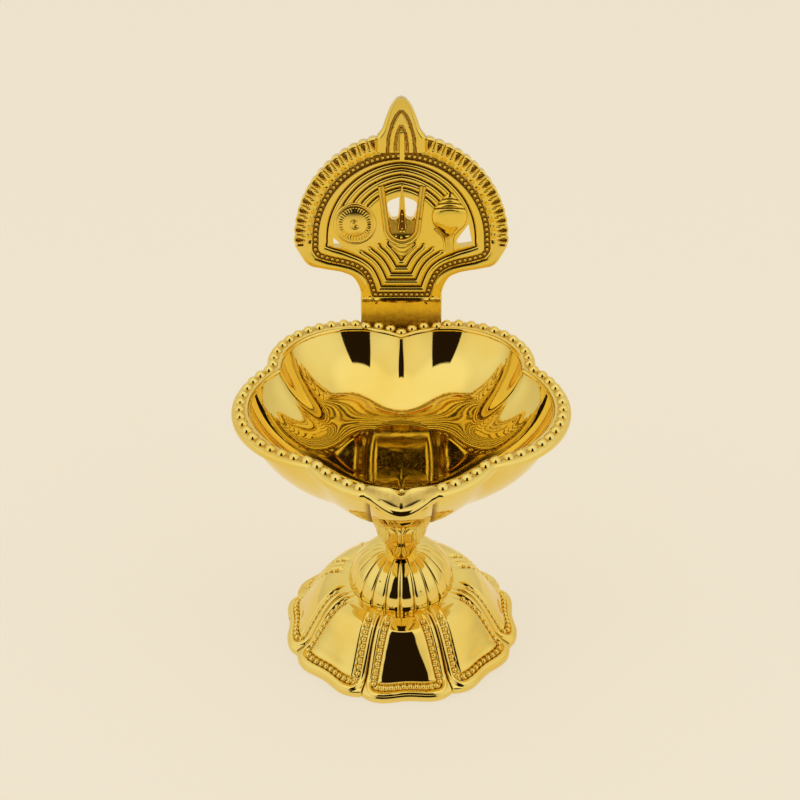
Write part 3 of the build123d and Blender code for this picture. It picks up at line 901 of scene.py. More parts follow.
class LAMP_OT_dome(bpy.types.Operator):
    """Fluted dome between the foot and the bowl's neck"""

    bl_idname = "lamp.dome"
    bl_label = "Fluted dome"

    def execute(self, context):
        settings = context.scene.lamp_foot
        base, top = dome_low.z / MM, dome_high.z / MM
        columns = settings.flutes * FLUTE_COLUMNS
        across = (np.arange(columns) % FLUTE_COLUMNS) / FLUTE_COLUMNS - 0.5
        flute = (np.arange(columns) - FLUTE_COLUMNS / 2.0) / FLUTE_COLUMNS
        around = settings.flute_turn - pi / 2.0 + flute * 2.0 * pi / settings.flutes
        share = np.sin(np.linspace(0.0, pi / 2.0, FLUTE_ROWS))
        rounding = (1.0 - share**2) ** DOME_ROUNDNESS
        crest = DOME_TOP_RADIUS + (DOME_BASE_RADIUS - DOME_TOP_RADIUS) * rounding
        crest = crest + DOME_FLARE * (1.0 - share) ** 2
        depth = settings.flute_depth / MM * crest / DOME_BASE_RADIUS
        radius = crest[:, None] - depth[:, None] * np.abs(2.0 * across) ** FLUTE_FLATNESS
        height = np.broadcast_to((base + share * (top - base))[:, None], radius.shape)
        outer = np.stack([radius * np.cos(around), radius * np.sin(around), height], axis=-1)
        inner = ((2.4, top), (2.4, top - 1.5), (6.5, top - 2.6), (9.2, base + 4.0), (10.4, base))
        rows = np.concatenate([outer, rings_about_axis(inner, around)])
        # Painted shade along the valleys between the flutes
        valley = np.clip((np.abs(2.0 * across) - 0.9) / 0.1, 0.0, 1.0)
        recess = np.zeros(rows.shape[:2])
        recess[: len(outer)] = 0.75 * valley
        dome = add_ring("dome_flutes", "foot", "polished_brass", rows, recess, 40.0)
        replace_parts(dome, "fluted_dome")
        return {"FINISHED"}


def rim_outline():
    """Plan points of the whole rim: arcs from cleft to cleft on the right, then their mirror image."""
    front = np.column_stack([np.linspace(0.0, FRONT_EDGE[0], 19), np.full(19, FRONT_EDGE[1])])
    lobes = (
        arc_through(FRONT_EDGE, FRONT_CURVE, FRONT_CLEFT, 30),
        arc_through(FRONT_CLEFT, SIDE_CREST, SIDE_CLEFT, 100),
        arc_through(SIDE_CLEFT, BACK_CREST, BACK_CLEFT, 84),
    )
    right = np.concatenate([front[:-1], lobes[0][:-1], lobes[1][:-1], lobes[2]])
    left = right[-2:0:-1] * (-1.0, 1.0)
    return np.concatenate([right, left])


def lip_share(points):
    """How far a rim point belongs to the wick lip: a rounded V, 1 at its tip and 0 at its corners."""
    off = np.hypot(points[:, 0], LIP_BLUNTNESS) - LIP_BLUNTNESS
    share = np.clip(1.0 - off / LIP_HALF_WIDTH, 0.0, 1.0)
    return np.where(points[:, 1] < 0.0, share, 0.0)


def bowl_share(depth, fullness):
    """Share of the rim's width that is left at a share of the bowl's depth, on a rounded power curve."""
    return (1.0 - depth**fullness) ** (1.0 / fullness)


def rounded_lobes(outline, depth):
    """Plan outline with its clefts rounded off, more the deeper the row, and a circle near the floor.

    The rounding averages neighbouring points with a bell curve, which is a product on their Fourier terms.
    """
    plan = np.fft.fft(outline[:, 0] + 1j * outline[:, 1])
    turns = np.fft.fftfreq(len(outline)) * 2.0 * pi
    spread = CLEFT_ROUNDING + DEEP_ROUNDING * depth[:, None]
    soft = np.fft.ifft(plan * np.exp(-0.5 * (turns * spread) ** 2), axis=1)
    mean = np.abs(soft).mean(axis=1, keepdims=True)
    drawn = soft + (soft / np.abs(soft) * mean - soft) * smoothstep(0.7, 1.0, depth)[:, None]
    return np.stack([drawn.real, drawn.imag], axis=-1)


class LampBowl:
    """The bowl's curves, worked out once from the settings for its shell, its beads and its lug."""

    def __init__(self, settings):
        self.rim_height = settings.rim_height / MM
        self.fullness = settings.fullness
        self.lip_dip = settings.lip_dip / MM
        self.rim_share = settings.rim_width / MM / RIM_REACH
        self.outer_share = 1.0 - self.rim_share + BOWL_WALL / RIM_REACH
        outline = rim_outline()
        self.lip = lip_share(outline)
        outline[:, 1] -= LIP_REACH * self.lip
        self.outline = outline
        self.azimuth = np.arctan2(outline[:, 0], -outline[:, 1])
        self.top = self.rim_height - self.lip_dip * self.lip
        across = np.clip(1.0 - np.abs(outline[:, 0]) / TROUGH_HALF_WIDTH, 0.0, 1.0)
        self.trough = np.where(self.lip > 0.0, across, 0.0)
        self.notch = NOTCH_DEPTH * np.exp(-((outline[:, 0] / NOTCH_HALF_WIDTH) ** 2)) * (outline[:, 1] < 0.0)

    def across_rim(self, place):
        """Plan points at a place across the rim, 0 at its inner edge and 1 at its outer edge."""
        return self.outline * (1.0 - self.rim_share * (1.0 - place))

    def inside_rows(self, count):
        """Inner wall from the floor up to the rim: the rim's inner outline scaled along a circle's arc.

        The arc leaves the rim flared outwards and runs out, almost level, into a slightly dished floor.
        """
        floor = np.linspace(0.05, 1.0, 16)[:-1]
        rise = np.linspace(pi / 2.0 - FLOOR_SLOPE, INNER_FLARE, count)
        wall_width = 1.0 - WALL_SHARE * (1.0 - np.cos(rise) / np.cos(INNER_FLARE))
        wall_depth = (np.sin(rise) - np.sin(INNER_FLARE)) / (np.sin(rise[0]) - np.sin(INNER_FLARE))
        width = np.concatenate([floor * wall_width[0], wall_width])
        depth = np.concatenate([1.0 - FLOOR_DISH * floor**2, (1.0 - FLOOR_DISH) * wall_depth])
        plan = rounded_lobes(self.across_rim(0.0), depth)
        edge = self.rim_height + RIM_SECTION[0][1] - self.notch
        height = edge - (edge - BOWL_FLOOR) * depth[:, None]
        return np.concatenate([plan * width[:, None, None], height[:, :, None]], axis=-1)

    def rim_rows(self):
        """Rounded rim from its inner edge over the top and back under it to the outer wall.

        At the spout it slopes down from a small notch in its inner edge to a raised band along the lip.
        """
        section = smooth_curve(RIM_SECTION, 46)
        outermost = np.argmax(section[:, 0])
        rows = []
        for number, (place, rise) in enumerate(section):
            above = 1.0 if number < outermost else 0.0
            slope = np.clip(place / LIP_SLOPE_END, 0.0, 1.0) if above else 1.0
            trough = self.lip + (self.trough - self.lip) * smoothstep(0.85, 0.6, place) * above
            thinned = rise if above else rise * (1.0 - LIP_THINNING * self.lip)
            level = self.rim_height + thinned - self.lip_dip * trough * slope
            level = level - above * self.notch * smoothstep(0.6, 0.0, place)
            band = above * LIP_BAND * roll(place - LIP_BAND_LINE, LIP_BAND_HALF_WIDTH)
            level = level + band * smoothstep(0.0, 0.3, self.lip)
            rows.append(np.column_stack([self.across_rim(place), level]))
        rim = np.array(rows)
        behind = (np.abs(rim[:, :, 0]) < SEAT_HALF_WIDTH) & (rim[:, :, 1] > SEAT_ROOM)
        rim[:, :, 1] = np.where(behind, SEAT_ROOM, rim[:, :, 1])
        return rim

    def outside_rows(self):
        """Outer wall down to the neck, and the neck down to the dome."""
        turn = np.linspace(*BELLY_TURN, 44)
        depth = np.sin(turn) ** (2.0 / self.fullness)
        width = self.outer_share * bowl_share(depth, self.fullness)
        plan = rounded_lobes(rim_outline(), depth) * width[:, None, None]
        fall = (depth - depth[0]) / (depth[-1] - depth[0])
        start = self.rim_height + RIM_SECTION[-1][1]
        level = start - (start - NECK_SECTION[0][1]) * fall[:, None]
        height = np.broadcast_to(level, plan.shape[:2])
        wall = np.concatenate([plan, height[:, :, None]], axis=-1)
        neck = smooth_curve(NECK_SECTION, 46)[1:]
        around = np.column_stack([np.sin(self.azimuth), -np.cos(self.azimuth)])
        ring = around * neck[:, 0][:, None, None]
        level = np.broadcast_to(neck[:, 1][:, None], ring.shape[:2])
        return np.concatenate([wall, np.concatenate([ring, level[:, :, None]], axis=-1)])

    def leaf_rows(self):
        """Leaf under the lip, as upright loops from its left edge to its right one.

        Each loop runs up the front, which is folded to a shallow V along a straight keel, and down inside
        the bowl and the neck. The front's half width, reach and fold follow a smooth curve over the height.
        """
        across = np.sin(np.linspace(-pi / 2.0, pi / 2.0, 61))[:, None]
        line = smooth_curve(LEAF_SECTION, 300)
        lip = lip_share(np.column_stack([LEAF_SECTION[-1][1] * across, np.full(len(across), -1.0)]))
        top = self.rim_height - LEAF_TUCK - self.lip_dip * lip
        height = LEAF_FOOT + (top[:, None] - LEAF_FOOT) * np.linspace(0.0, 1.0, 80)
        half, reach, depth = (np.interp(height, line[:, 0], line[:, part]) for part in (1, 2, 3))
        crease = LEAF_CREASE + LEAF_CREASE_SPREAD * smoothstep(*LEAF_SPREAD_HEIGHTS, height)
        flank = np.clip((np.abs(across) - crease) / (1.0 - crease), 0.0, 1.0)
        fold = LEAF_FRONT_FOLD * np.minimum(np.abs(across) / crease, 1.0)
        fold = fold + (1.0 - LEAF_FRONT_FOLD) * flank**LEAF_FLANK_POWER
        front = np.stack([half * across, depth * fold - reach, height], axis=-1)
        fall = np.clip((self.rim_height - height) / (self.rim_height - BOWL_BOTTOM), 0.0, 1.0)
        wall = -FRONT_EDGE[1] * self.outer_share * bowl_share(fall, self.fullness) - LEAF_INSIDE_GAP
        inside = np.minimum(np.maximum(wall, LEAF_INSIDE_REACH), reach - depth - 0.4)
        behind = np.stack([0.85 * half * across, -inside, height], axis=-1)
        return np.concatenate([front, behind[:, ::-1]], axis=1)

    def wall_radius(self, azimuth, height):
        """Outer wall's radius away from the spout, for the lug that is set against it."""
        depth = np.clip((self.rim_height - height) / (self.rim_height - BOWL_BOTTOM), 0.0, 1.0)
        order = np.argsort(self.azimuth)
        reach = np.interp(azimuth, self.azimuth[order], np.linalg.norm(self.outline, axis=1)[order])
        return reach * self.outer_share * bowl_share(depth, self.fullness)


class LAMP_OT_bowl(bpy.types.Operator):
    """Lobed oil bowl with its spout, neck and rounded rim, and the rim's beads"""

    bl_idname = "lamp.bowl"
    bl_label = "Oil bowl"

    def execute(self, context):
        settings = context.scene.lamp_bowl
        bowl = LampBowl(settings)
        inside = bowl.inside_rows(66)
        rim = bowl.rim_rows()
        outside = bowl.outside_rows()
        rows = np.concatenate([inside, rim, outside])
        recess = np.zeros(rows.shape[:2])
        under = len(inside) + len(rim)
        across = smooth_curve(RIM_SECTION, len(rim))[:, 0]
        # Painted shade on the rim's top round its beads, and under its overhang
        recess[len(inside) : under] = 0.55 * roll(across - 0.5, 0.34)[:, None]
        # Painted shadow under the rim, onto the top of the outer wall
        recess[under - 5 : under + 2] = 0.5
        # Painted shade down the front of the outer wall, along each side of the spout leaf
        aside = np.abs(outside[:, :, 0]) - LEAF_SHADE_LINE
        front = smoothstep(-9.0, -14.0, outside[:, :, 1])
        recess[under:] = np.maximum(recess[under:], 0.8 * smoothstep(3.2, 0.3, np.abs(aside)) * front)
        poles = ((0.0, 0.0, BOWL_FLOOR), (0.0, 0.0, NECK_SECTION[-1][1]))
        shell = add_shell("bowl_shell", "bowl", "polished_brass", rows, poles, recess, 55.0)
        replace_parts(shell, "oil_bowl")
        leaf = bowl.leaf_rows()
        ends = (leaf[0].mean(axis=0), leaf[-1].mean(axis=0))
        # Painted dark reflection along the leaf's keel, up to a little below its top
        keel = smoothstep(0.35, 0.1, np.abs(leaf[:, :, 0])) * smoothstep(60.0, 57.0, leaf[:, :, 2])
        add_shell("spout_leaf", "bowl", "polished_brass", leaf, ends, 0.7 * keel, 9.0)
        nub = np.array([LIP_NUB]) + (0.0, 0.0, bowl.rim_height)
        up = np.array([[0.0, 0.0, 1.0]])
        add_beads("lip_nub", "bowl", "polished_brass", nub, up, LIP_NUB_RADIUS, 0.9)
        self.add_rim_beads(settings, bowl)
        return {"FINISHED"}

    def add_rim_beads(self, settings, bowl):
        radius = settings.bead / MM / 2.0
        half = len(bowl.outline) // 2 + 1
        outline = bowl.outline[:half]
        inset = settings.bead_inset / MM + FRONT_BEAD_INSET * smoothstep(-19.0, -26.0, outline[:, 1])
        line = outline * (1.0 - inset / RIM_REACH)[:, None]
        near_seat = np.abs(line[:, 0]) < SEAT_HALF_WIDTH + 1.0
        line[:, 1] = np.where(near_seat, np.minimum(line[:, 1], SEAT_ROOM - radius), line[:, 1])
        step = settings.bead_step / MM
        right = even_places(line[line[:, 0] > FRONT_EDGE[0] * 0.95], step)
        behind = line[(line[:, 0] <= right[-1, 0]) & (line[:, 1] > 0.0)]
        right = np.concatenate([right, even_places(behind, step)[1:]])
        plan = np.concatenate([right, right[:-1] * (-1.0, 1.0)])
        centres = np.column_stack([plan, np.full(len(plan), bowl.rim_height - RIM_BEAD_DROP)])
        normals = np.tile((0.0, 0.0, 1.0), (len(plan), 1))
        add_beads("rim_beads", "bowl", "polished_brass", centres, normals, radius, 0.75)


class LampPlate:
    """The back plate's seat plane and its lines, worked out once for the plate and what sits on it."""

    def __init__(self, scene):
        settings = scene.lamp_plate
        self.origin = np.array([0.0, settings.seat_reach / MM, scene.lamp_bowl.rim_height / MM])
        self.up = np.array([0.0, np.sin(settings.lean), np.cos(settings.lean)])
        self.out = np.array([0.0, -np.cos(settings.lean), np.sin(settings.lean)])
        self.relief = settings.relief / MM
        self.scallops = settings.scallops
        path = self.bead_path()
        angle = np.arctan2(path[:, 1] - PLATE_HUB, path[:, 0])
        order = np.argsort(angle)
        self.path = path
        self.path_angle = angle[order]
        self.path_reach = np.hypot(path[:, 0], path[:, 1] - PLATE_HUB)[order]

    def place(self, x, up, out):
        """Points of the frame for places across, up and out from the seat plane."""
        x, up, out = np.broadcast_arrays(x, up, out)
        across = np.stack([x, np.zeros_like(x), np.zeros_like(x)], axis=-1)
        return self.origin + across + up[..., None] * self.up + out[..., None] * self.out

    def outline(self):
        """Outline from the tab's foot up the right side to the finial's tip and down the left side."""
        tab = arc_through((-TAB_HALF_WIDTH, TAB_SIDE), (0.0, TAB_DEPTH), (TAB_HALF_WIDTH, TAB_SIDE), 49)[24:]
        neck = np.column_stack([np.full(36, TAB_HALF_WIDTH), np.linspace(TAB_SIDE, SHOULDER[0][1], 36)])
        shoulder = smooth_curve(SHOULDER, 90)
        base = np.arctan2(FINIAL_OUTLINE[0][1] - PLATE_HUB, FINIAL_OUTLINE[0][0])
        first = np.arctan2(SHOULDER[-1][1] - PLATE_HUB, SHOULDER[-1][0])
        turn = np.linspace(first, base, self.scallops * 16 + 1)
        loop = np.linspace(0.0, self.scallops, len(turn)) % 1.0
        radius = PLATE_RADIUS - SCALLOP_DEPTH * np.abs(2.0 * loop - 1.0) ** 2.5
        arc = np.column_stack([radius * np.cos(turn), PLATE_HUB + radius * np.sin(turn)])
        finial = smooth_curve(FINIAL_OUTLINE, 44)
        right = np.concatenate([tab[:-1], neck[:-1], shoulder[:-1], arc[1:-1], finial])
        loops = np.full(len(right), -1.0)
        before = len(tab) + len(neck) + len(shoulder) - 3
        loops[before : before + len(turn) - 2] = loop[1:-1]
        left = right[-2:0:-1] * (-1.0, 1.0)
        return np.concatenate([right, left]), np.concatenate([loops, loops[-2:0:-1]])

    def bead_path(self):
        """Closed line of the frame's beads: level at its foot, parallel to the shoulders, round above."""
        turn = np.linspace(0.0, pi / 2.0, 60)
        arc = np.column_stack([BEAD_PATH_RADIUS * np.cos(turn), PLATE_HUB + BEAD_PATH_RADIUS * np.sin(turn)])
        right = np.concatenate([
            smooth_curve(BEAD_PATH_FOOT, 12)[:-1], smooth_curve(BEAD_PATH_SIDE, 44)[:-1],
            smooth_curve(BEAD_PATH_CORNER, 10)[:-1], arc,
        ])
        return np.concatenate([right, right[-2:0:-1] * (-1.0, 1.0)])

    def distance(self, reach, angle):
        """Distance of polar points inside the bead path, negative outside it."""
        x, y = reach * np.cos(angle), PLATE_HUB + reach * np.sin(angle)
        start = self.path
        step = np.roll(self.path, -1, axis=0) - start
        dx, dy = x[:, None] - start[:, 0], y[:, None] - start[:, 1]
        along = np.clip((dx * step[:, 0] + dy * step[:, 1]) / np.sum(step**2, axis=1), 0.0, 1.0)
        nearest = np.hypot(dx - along * step[:, 0], dy - along * step[:, 1]).min(axis=1)
        edge = np.interp(angle, self.path_angle, self.path_reach, period=2.0 * pi)
        return np.where(reach < edge, nearest, -nearest)

    def frame_line(self, angle, inset):
        """Points on rays from the hub that lie a given distance inside the bead path, found by halving."""
        edge = np.interp(angle, self.path_angle, self.path_reach, period=2.0 * pi)
        inset = np.broadcast_to(inset, angle.shape)
        low = np.where(inset > 0.0, 0.0, edge)
        high = np.where(inset > 0.0, edge, edge + 4.0 * np.abs(inset) + 0.1)
        for _ in range(18):
            middle = (low + high) / 2.0
            inside = self.distance(middle, angle) > inset
            low = np.where(inside, middle, low)
            high = np.where(inside, high, middle)
        return np.column_stack([low * np.cos(angle), PLATE_HUB + low * np.sin(angle)])


def groove_strength(number, up):
    """How deep a carved groove runs at a height: the first all round, the rest clear of the emblems."""
    if number == 0:
        return np.ones_like(up)
    lowered = LOWER_CARVING_STEP * (4 - number)
    below = smoothstep(LOWER_CARVING[0] - lowered, LOWER_CARVING[1] - lowered, up)
    return np.maximum(smoothstep(*UPPER_CARVING, up), below)


def field_rows(plate, angle):
    """Rows of the carved field from the hub outwards, as points, heights and recess depths.

    Ridges stand between grooves that keep their distance from the bead path. Above, that distance grows
    with the cosine of the angle, which makes pointed arches; below, the grooves run level and down the neck.
    """
    points, heights, recesses = [], [], []
    rising = np.abs(np.cos(angle))
    below = smoothstep(0.0, -0.4, np.sin(angle))
    grooves = []
    for top, side, foot in zip(UPPER_GROOVES, SIDE_GROOVES, LOWER_GROOVES):
        arch = top + (side - top) * rising
        grooves.append(arch + (foot - arch) * below)
    inner = plate.frame_line(angle, grooves[-1] + 0.75)
    hub = np.array([0.0, PLATE_HUB])
    for share in np.linspace(0.06, 0.96, 24):
        line = hub + (inner - hub) * share
        across = np.abs(line[:, 0] - MARK_CENTRE)
        room = 2.9 + 0.1 * (line[:, 1] - PLATE_HUB)
        up = line[:, 1]
        sunk = smoothstep(room, room - 0.5, across) * smoothstep(22.9, 23.6, up) * smoothstep(28.0, 27.4, up)
        points.append(line)
        heights.append(plate.relief * (FIELD_LEVEL - 0.6 * sunk))
        # The sunk panel between the slots is darkened: patina and painted shade
        recesses.append(np.maximum(0.1, 0.6 * sunk))
    for number in range(len(grooves) - 1, -1, -1):
        for offset in GROOVE_OFFSETS:
            line = plate.frame_line(angle, grooves[number] + offset)
            depth = groove_strength(number, line[:, 1])
            cut = 1.0 - roll(RIDGE_HALF_WIDTH - abs(offset), RIDGE_HALF_WIDTH)
            points.append(line)
            heights.append(plate.relief * (FIELD_LEVEL - GROOVE_DEPTH * cut * depth))
            # Groove bottoms darkened: patina and painted shade
            recesses.append(np.maximum(0.05, 0.85 * smoothstep(0.3, 0.1, abs(offset)) * depth))
    return points, heights, recesses


def band_rows(plate, angle, outline, loops):
    """Rows from the frame's ridge over the bead channel and the outer band to the scalloped edge."""
    points, heights, recesses = [], [], []
    for inset, height, recess in BEAD_CHANNEL:
        points.append(plate.frame_line(angle, inset))
        heights.append(np.full(len(angle), height * plate.relief))
        recesses.append(np.full(len(angle), recess))
    start = points[-1]
    on_arc = smoothstep(-0.1, 0.06, np.sin(angle))
    on_neck = (outline[:, 1] < 8.4).astype(float)
    pitch = PLATE_RADIUS * (pi / 2.0) / plate.scallops
    span = np.linalg.norm(outline - start, axis=1)
    for share in np.linspace(0.0, 1.0, 25)[1:]:
        line = start + (outline - start) * share
        left = span * (1.0 - share)
        below = BEAD_PATH_FOOT[0][1] - line[:, 1]
        cove = 0.62 + 0.4 * smoothstep(4.6, 2.9, left)
        shoulder = 0.74 + 0.3 * roll(share - 0.55, 0.6)
        neck = 0.3 + 0.75 * roll(below - 1.35, 0.5) + 0.12 * roll(line[:, 0], 10.6)
        level = cove * on_arc + shoulder * (1.0 - on_arc) * (1.0 - on_neck) + neck * on_neck * (1.0 - on_arc)
        aside = np.abs(loops - 0.5) * pitch
        past = left - PIT_LINE
        tail = np.clip(1.0 - past / PIT_TAPER, 0.0, 1.0)
        drop = PIT_HALF_WIDTH * np.where(past < 0.0, roll(past, PIT_ROUNDING), tail)
        looped = (loops >= 0.0).astype(float)
        pit = smoothstep(-0.02, 0.26, drop - aside) * looped
        notch = smoothstep(0.3, 0.0, pitch / 2.0 - aside) * smoothstep(2.6, 1.6, left) * looped
        rounding = smoothstep(0.45, 0.0, left)
        points.append(line)
        height = plate.relief * level - PIT_DEPTH * pit - NOTCH_CUT * notch - EDGE_ROUNDING * rounding
        under_leaf = smoothstep(6.4, 5.8, np.abs(line[:, 0])) * smoothstep(44.4, 45.0, line[:, 1])
        heights.append(height + (np.minimum(height, 0.1) - height) * under_leaf)
        # Darker in the cove inside the scalloped band; painted shade on the plate's neck, darker towards the
        # bottom; pits and notches darkened as patina and painted shade
        cove_darkening = 0.4 * on_arc * smoothstep(3.2, 4.2, left)
        neck_shade = 0.36 * smoothstep(7.0, 5.6, line[:, 1]) + 0.26 * smoothstep(4.6, 0.5, line[:, 1])
        tint = np.maximum(cove_darkening, neck_shade)
        recesses.append(np.maximum(np.maximum(0.72 * pit, 0.6 * notch), tint))
    return points, heights, recesses


def tarnish_cut_points(plate, mesh):
    """Back tarnish for the points that a cut has made on the plate's back, which start without any."""
    places = np.zeros(3 * len(mesh.vertices), np.float32)
    mesh.vertices.foreach_get("co", places)
    out = (places.reshape(-1, 3) / MM - plate.origin) @ plate.out
    depth = np.zeros(len(out), np.float32)
    mesh.attributes["recess"].data.foreach_get("value", depth)
    on_back = (out < 0.05 - PLATE_THICKNESS) & (depth == 0.0)
    tarnished = np.where(on_back, BACK_TARNISH, depth).astype(np.float32)
    mesh.attributes["recess"].data.foreach_set("value", tarnished)


def cut_windows(plate, piece):
    """Piece with the plate's four windows cut through it."""
    slot = smooth_curve((*SLOT_OUTLINE, SLOT_OUTLINE[0]), 33)[:-1]
    slots = [slot * (flip, 1.0) + (MARK_CENTRE, 0.0) for flip in (1.0, -1.0)]
    for number, window in enumerate((*slots, WHEEL_WINDOW, CONCH_WINDOW)):
        corners = np.array(window)
        count = len(corners)
        ends = [plate.place(corners[:, 0], corners[:, 1], level) for level in (-PLATE_THICKNESS - 1.0, 2.0)]
        middle = [end.mean(axis=0) for end in ends]
        points = np.concatenate([*ends, middle])
        quads, triangles = outward(points, grid_faces(2, count), pole_faces(2, count))
        mesh = bpy.data.meshes.new(f"window_{number}")
        mesh.from_pydata((points * MM).tolist(), [], quads.tolist() + triangles.tolist())
        cutter = bpy.data.objects.new(f"window_{number}", mesh)
        bpy.context.scene.collection.objects.link(cutter)
        cut = piece.modifiers.new(cutter.name, "BOOLEAN")
        cut.operation = "DIFFERENCE"
        cut.solver = "EXACT"
        cut.object = cutter
    bpy.context.view_layer.update()
    solid = piece.evaluated_get(bpy.context.evaluated_depsgraph_get())
    opened = bpy.data.meshes.new_from_object(solid)
    cutters = [cut.object for cut in piece.modifiers]
    piece.modifiers.clear()
    piece.data = opened
    tarnish_cut_points(plate, opened)
    for cutter in cutters:
        bpy.data.objects.remove(cutter)


class LAMP_OT_plate(bpy.types.Operator):
    """Carved back plate with its frame, scalloped edge and pierced windows, and the frame's beads"""

    bl_idname = "lamp.plate"
    bl_label = "Back plate"

    def execute(self, context):
        plate = LampPlate(context.scene)
        outline, loops = plate.outline()
        angle = np.arctan2(outline[:, 1] - PLATE_HUB, outline[:, 0])
        field = field_rows(plate, angle)
        band = band_rows(plate, angle, outline, loops)
        points, heights, recesses = (list(first) + list(second) for first, second in zip(field, band))
        hub = np.array([0.0, PLATE_HUB])
        edge = points[-1]
        drawn_in = edge + (hub - edge) / np.linalg.norm(hub - edge, axis=1, keepdims=True) * 0.35
        back = [(edge, -0.2, 0.1), (edge, -PLATE_THICKNESS + 0.35, 0.1), (drawn_in, -PLATE_THICKNESS, 0.1)]
        for share in np.linspace(0.92, 0.1, 5):
            back.append((hub + (drawn_in - hub) * share, -PLATE_THICKNESS, BACK_TARNISH))
        for line, height, recess in back:
            points.append(line)
            heights.append(np.full(len(line), height))
            recesses.append(np.full(len(line), recess))
        plan = np.array(points)
        rows = plate.place(plan[:, :, 0], plan[:, :, 1], np.array(heights))
        poles = [plate.place(0.0, PLATE_HUB, level) for level in (heights[0][0], -PLATE_THICKNESS)]
        relief = add_shell("plate_relief", "bowl", "carved_brass", rows, poles, np.array(recesses), 40.0)
        cut_windows(plate, relief)
        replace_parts(relief, "back_plate")
        self.add_frame_beads(context.scene.lamp_plate, plate)
        return {"FINISHED"}

    def add_frame_beads(self, settings, plate):
        closed = np.concatenate([plate.path, plate.path[:1]])
        spots = even_places(closed, settings.bead_step / MM)[:-1]
        centres = plate.place(spots[:, 0], spots[:, 1], FRAME_BEAD_RISE)
        normals = np.tile(plate.out, (len(spots), 1))
        add_beads("plate_beads", "bowl", "carved_brass", centres, normals, settings.bead / MM / 2.0, 0.75)


def add_bar(name, plate, path, half_width, base, height, taper=None, hollow=0.0):
    """Bar carried along a path on the plate: half an ellipse over a flat base, hollowed along its middle."""
    path = np.asarray(path, float)
    along = np.gradient(path, axis=0)
    along = along / np.linalg.norm(along, axis=1, keepdims=True)
    side = np.column_stack([along[:, 1], -along[:, 0]])
    turn = np.linspace(0.0, 2.0 * pi, 27)[:-1]
    width = half_width * (np.ones(len(path)) if taper is None else taper)
    x = path[:, :1] + side[:, :1] * width[:, None] * np.cos(turn)
    up = path[:, 1:] + side[:, 1:] * width[:, None] * np.cos(turn)
    groove = hollow * smoothstep(0.6, 0.25, np.abs(np.cos(turn)))
    bulge = np.where(np.sin(turn) > 0.0, np.abs(np.sin(turn)) ** 0.7 * (1.0 - groove), -0.15)
    rows = plate.place(x, up, base + height * bulge)
    poles = (rows[0].mean(axis=0), rows[-1].mean(axis=0))
    shade = np.where(np.sin(turn) > 0.3, 0.55 * groove / max(hollow, 0.01), 0.8)
    recess = np.broadcast_to(shade, (len(path), len(turn)))
    return add_shell(name, "bowl", "carved_brass", rows, poles, recess, 60.0)


def add_pillow(name, plate, centre, section, base, height, marks=None):
    """Rounded emblem: at each height up the plate a half ellipse of the section's width over a flat base.

    The section gives half widths for heights, and marks carves grooves by height and share across.
    """
    line = smooth_curve(section, 90)
    turn = np.linspace(0.0, 2.0 * pi, 49)[:-1]
    across = np.cos(turn)
    front = np.sin(turn) > 0.0
    bulge = np.where(front, np.abs(np.sin(turn)) ** 0.85, -0.1)
    thickness = height * np.minimum(1.0, 0.65 + 0.35 * line[:, 1] / line[:, 1].max())
    out = base + thickness[:, None] * bulge
    # The back and the side edges at the foot get painted shade; the carved marks get patina and painted
    # shade
    recess = np.where(front, 0.0, 0.6) * np.ones((len(line), 1))
    if marks is not None:
        cut = marks(line[:, :1], across) * front
        out = out - 0.32 * cut
        recess = np.maximum(recess, 0.95 * cut)
    rows = plate.place(centre + line[:, 1:] * across, line[:, :1], out)
    poles = (rows[0].mean(axis=0), rows[-1].mean(axis=0))
    return add_shell(name, "bowl", "carved_brass", rows, poles, recess, 60.0)


def conch_marks(up, across):
    """Stripes under the conch's crown, and its sunk tail."""
    stripes = sum(smoothstep(0.3, 0.12, np.abs(up - place + 0.5 * across**2)) for place in CONCH_STRIPES)
    tail = 0.4 * smoothstep(24.6, 23.2, up) * np.ones_like(across)
    return np.clip(stripes + tail, 0.0, 1.0)


def drop_marks(up, across):
    """Sunk panel in the drop's foot."""
    return smoothstep(0.62, 0.5, np.abs(across)) * smoothstep(24.7, 24.95, up) * smoothstep(30.4, 30.0, up)


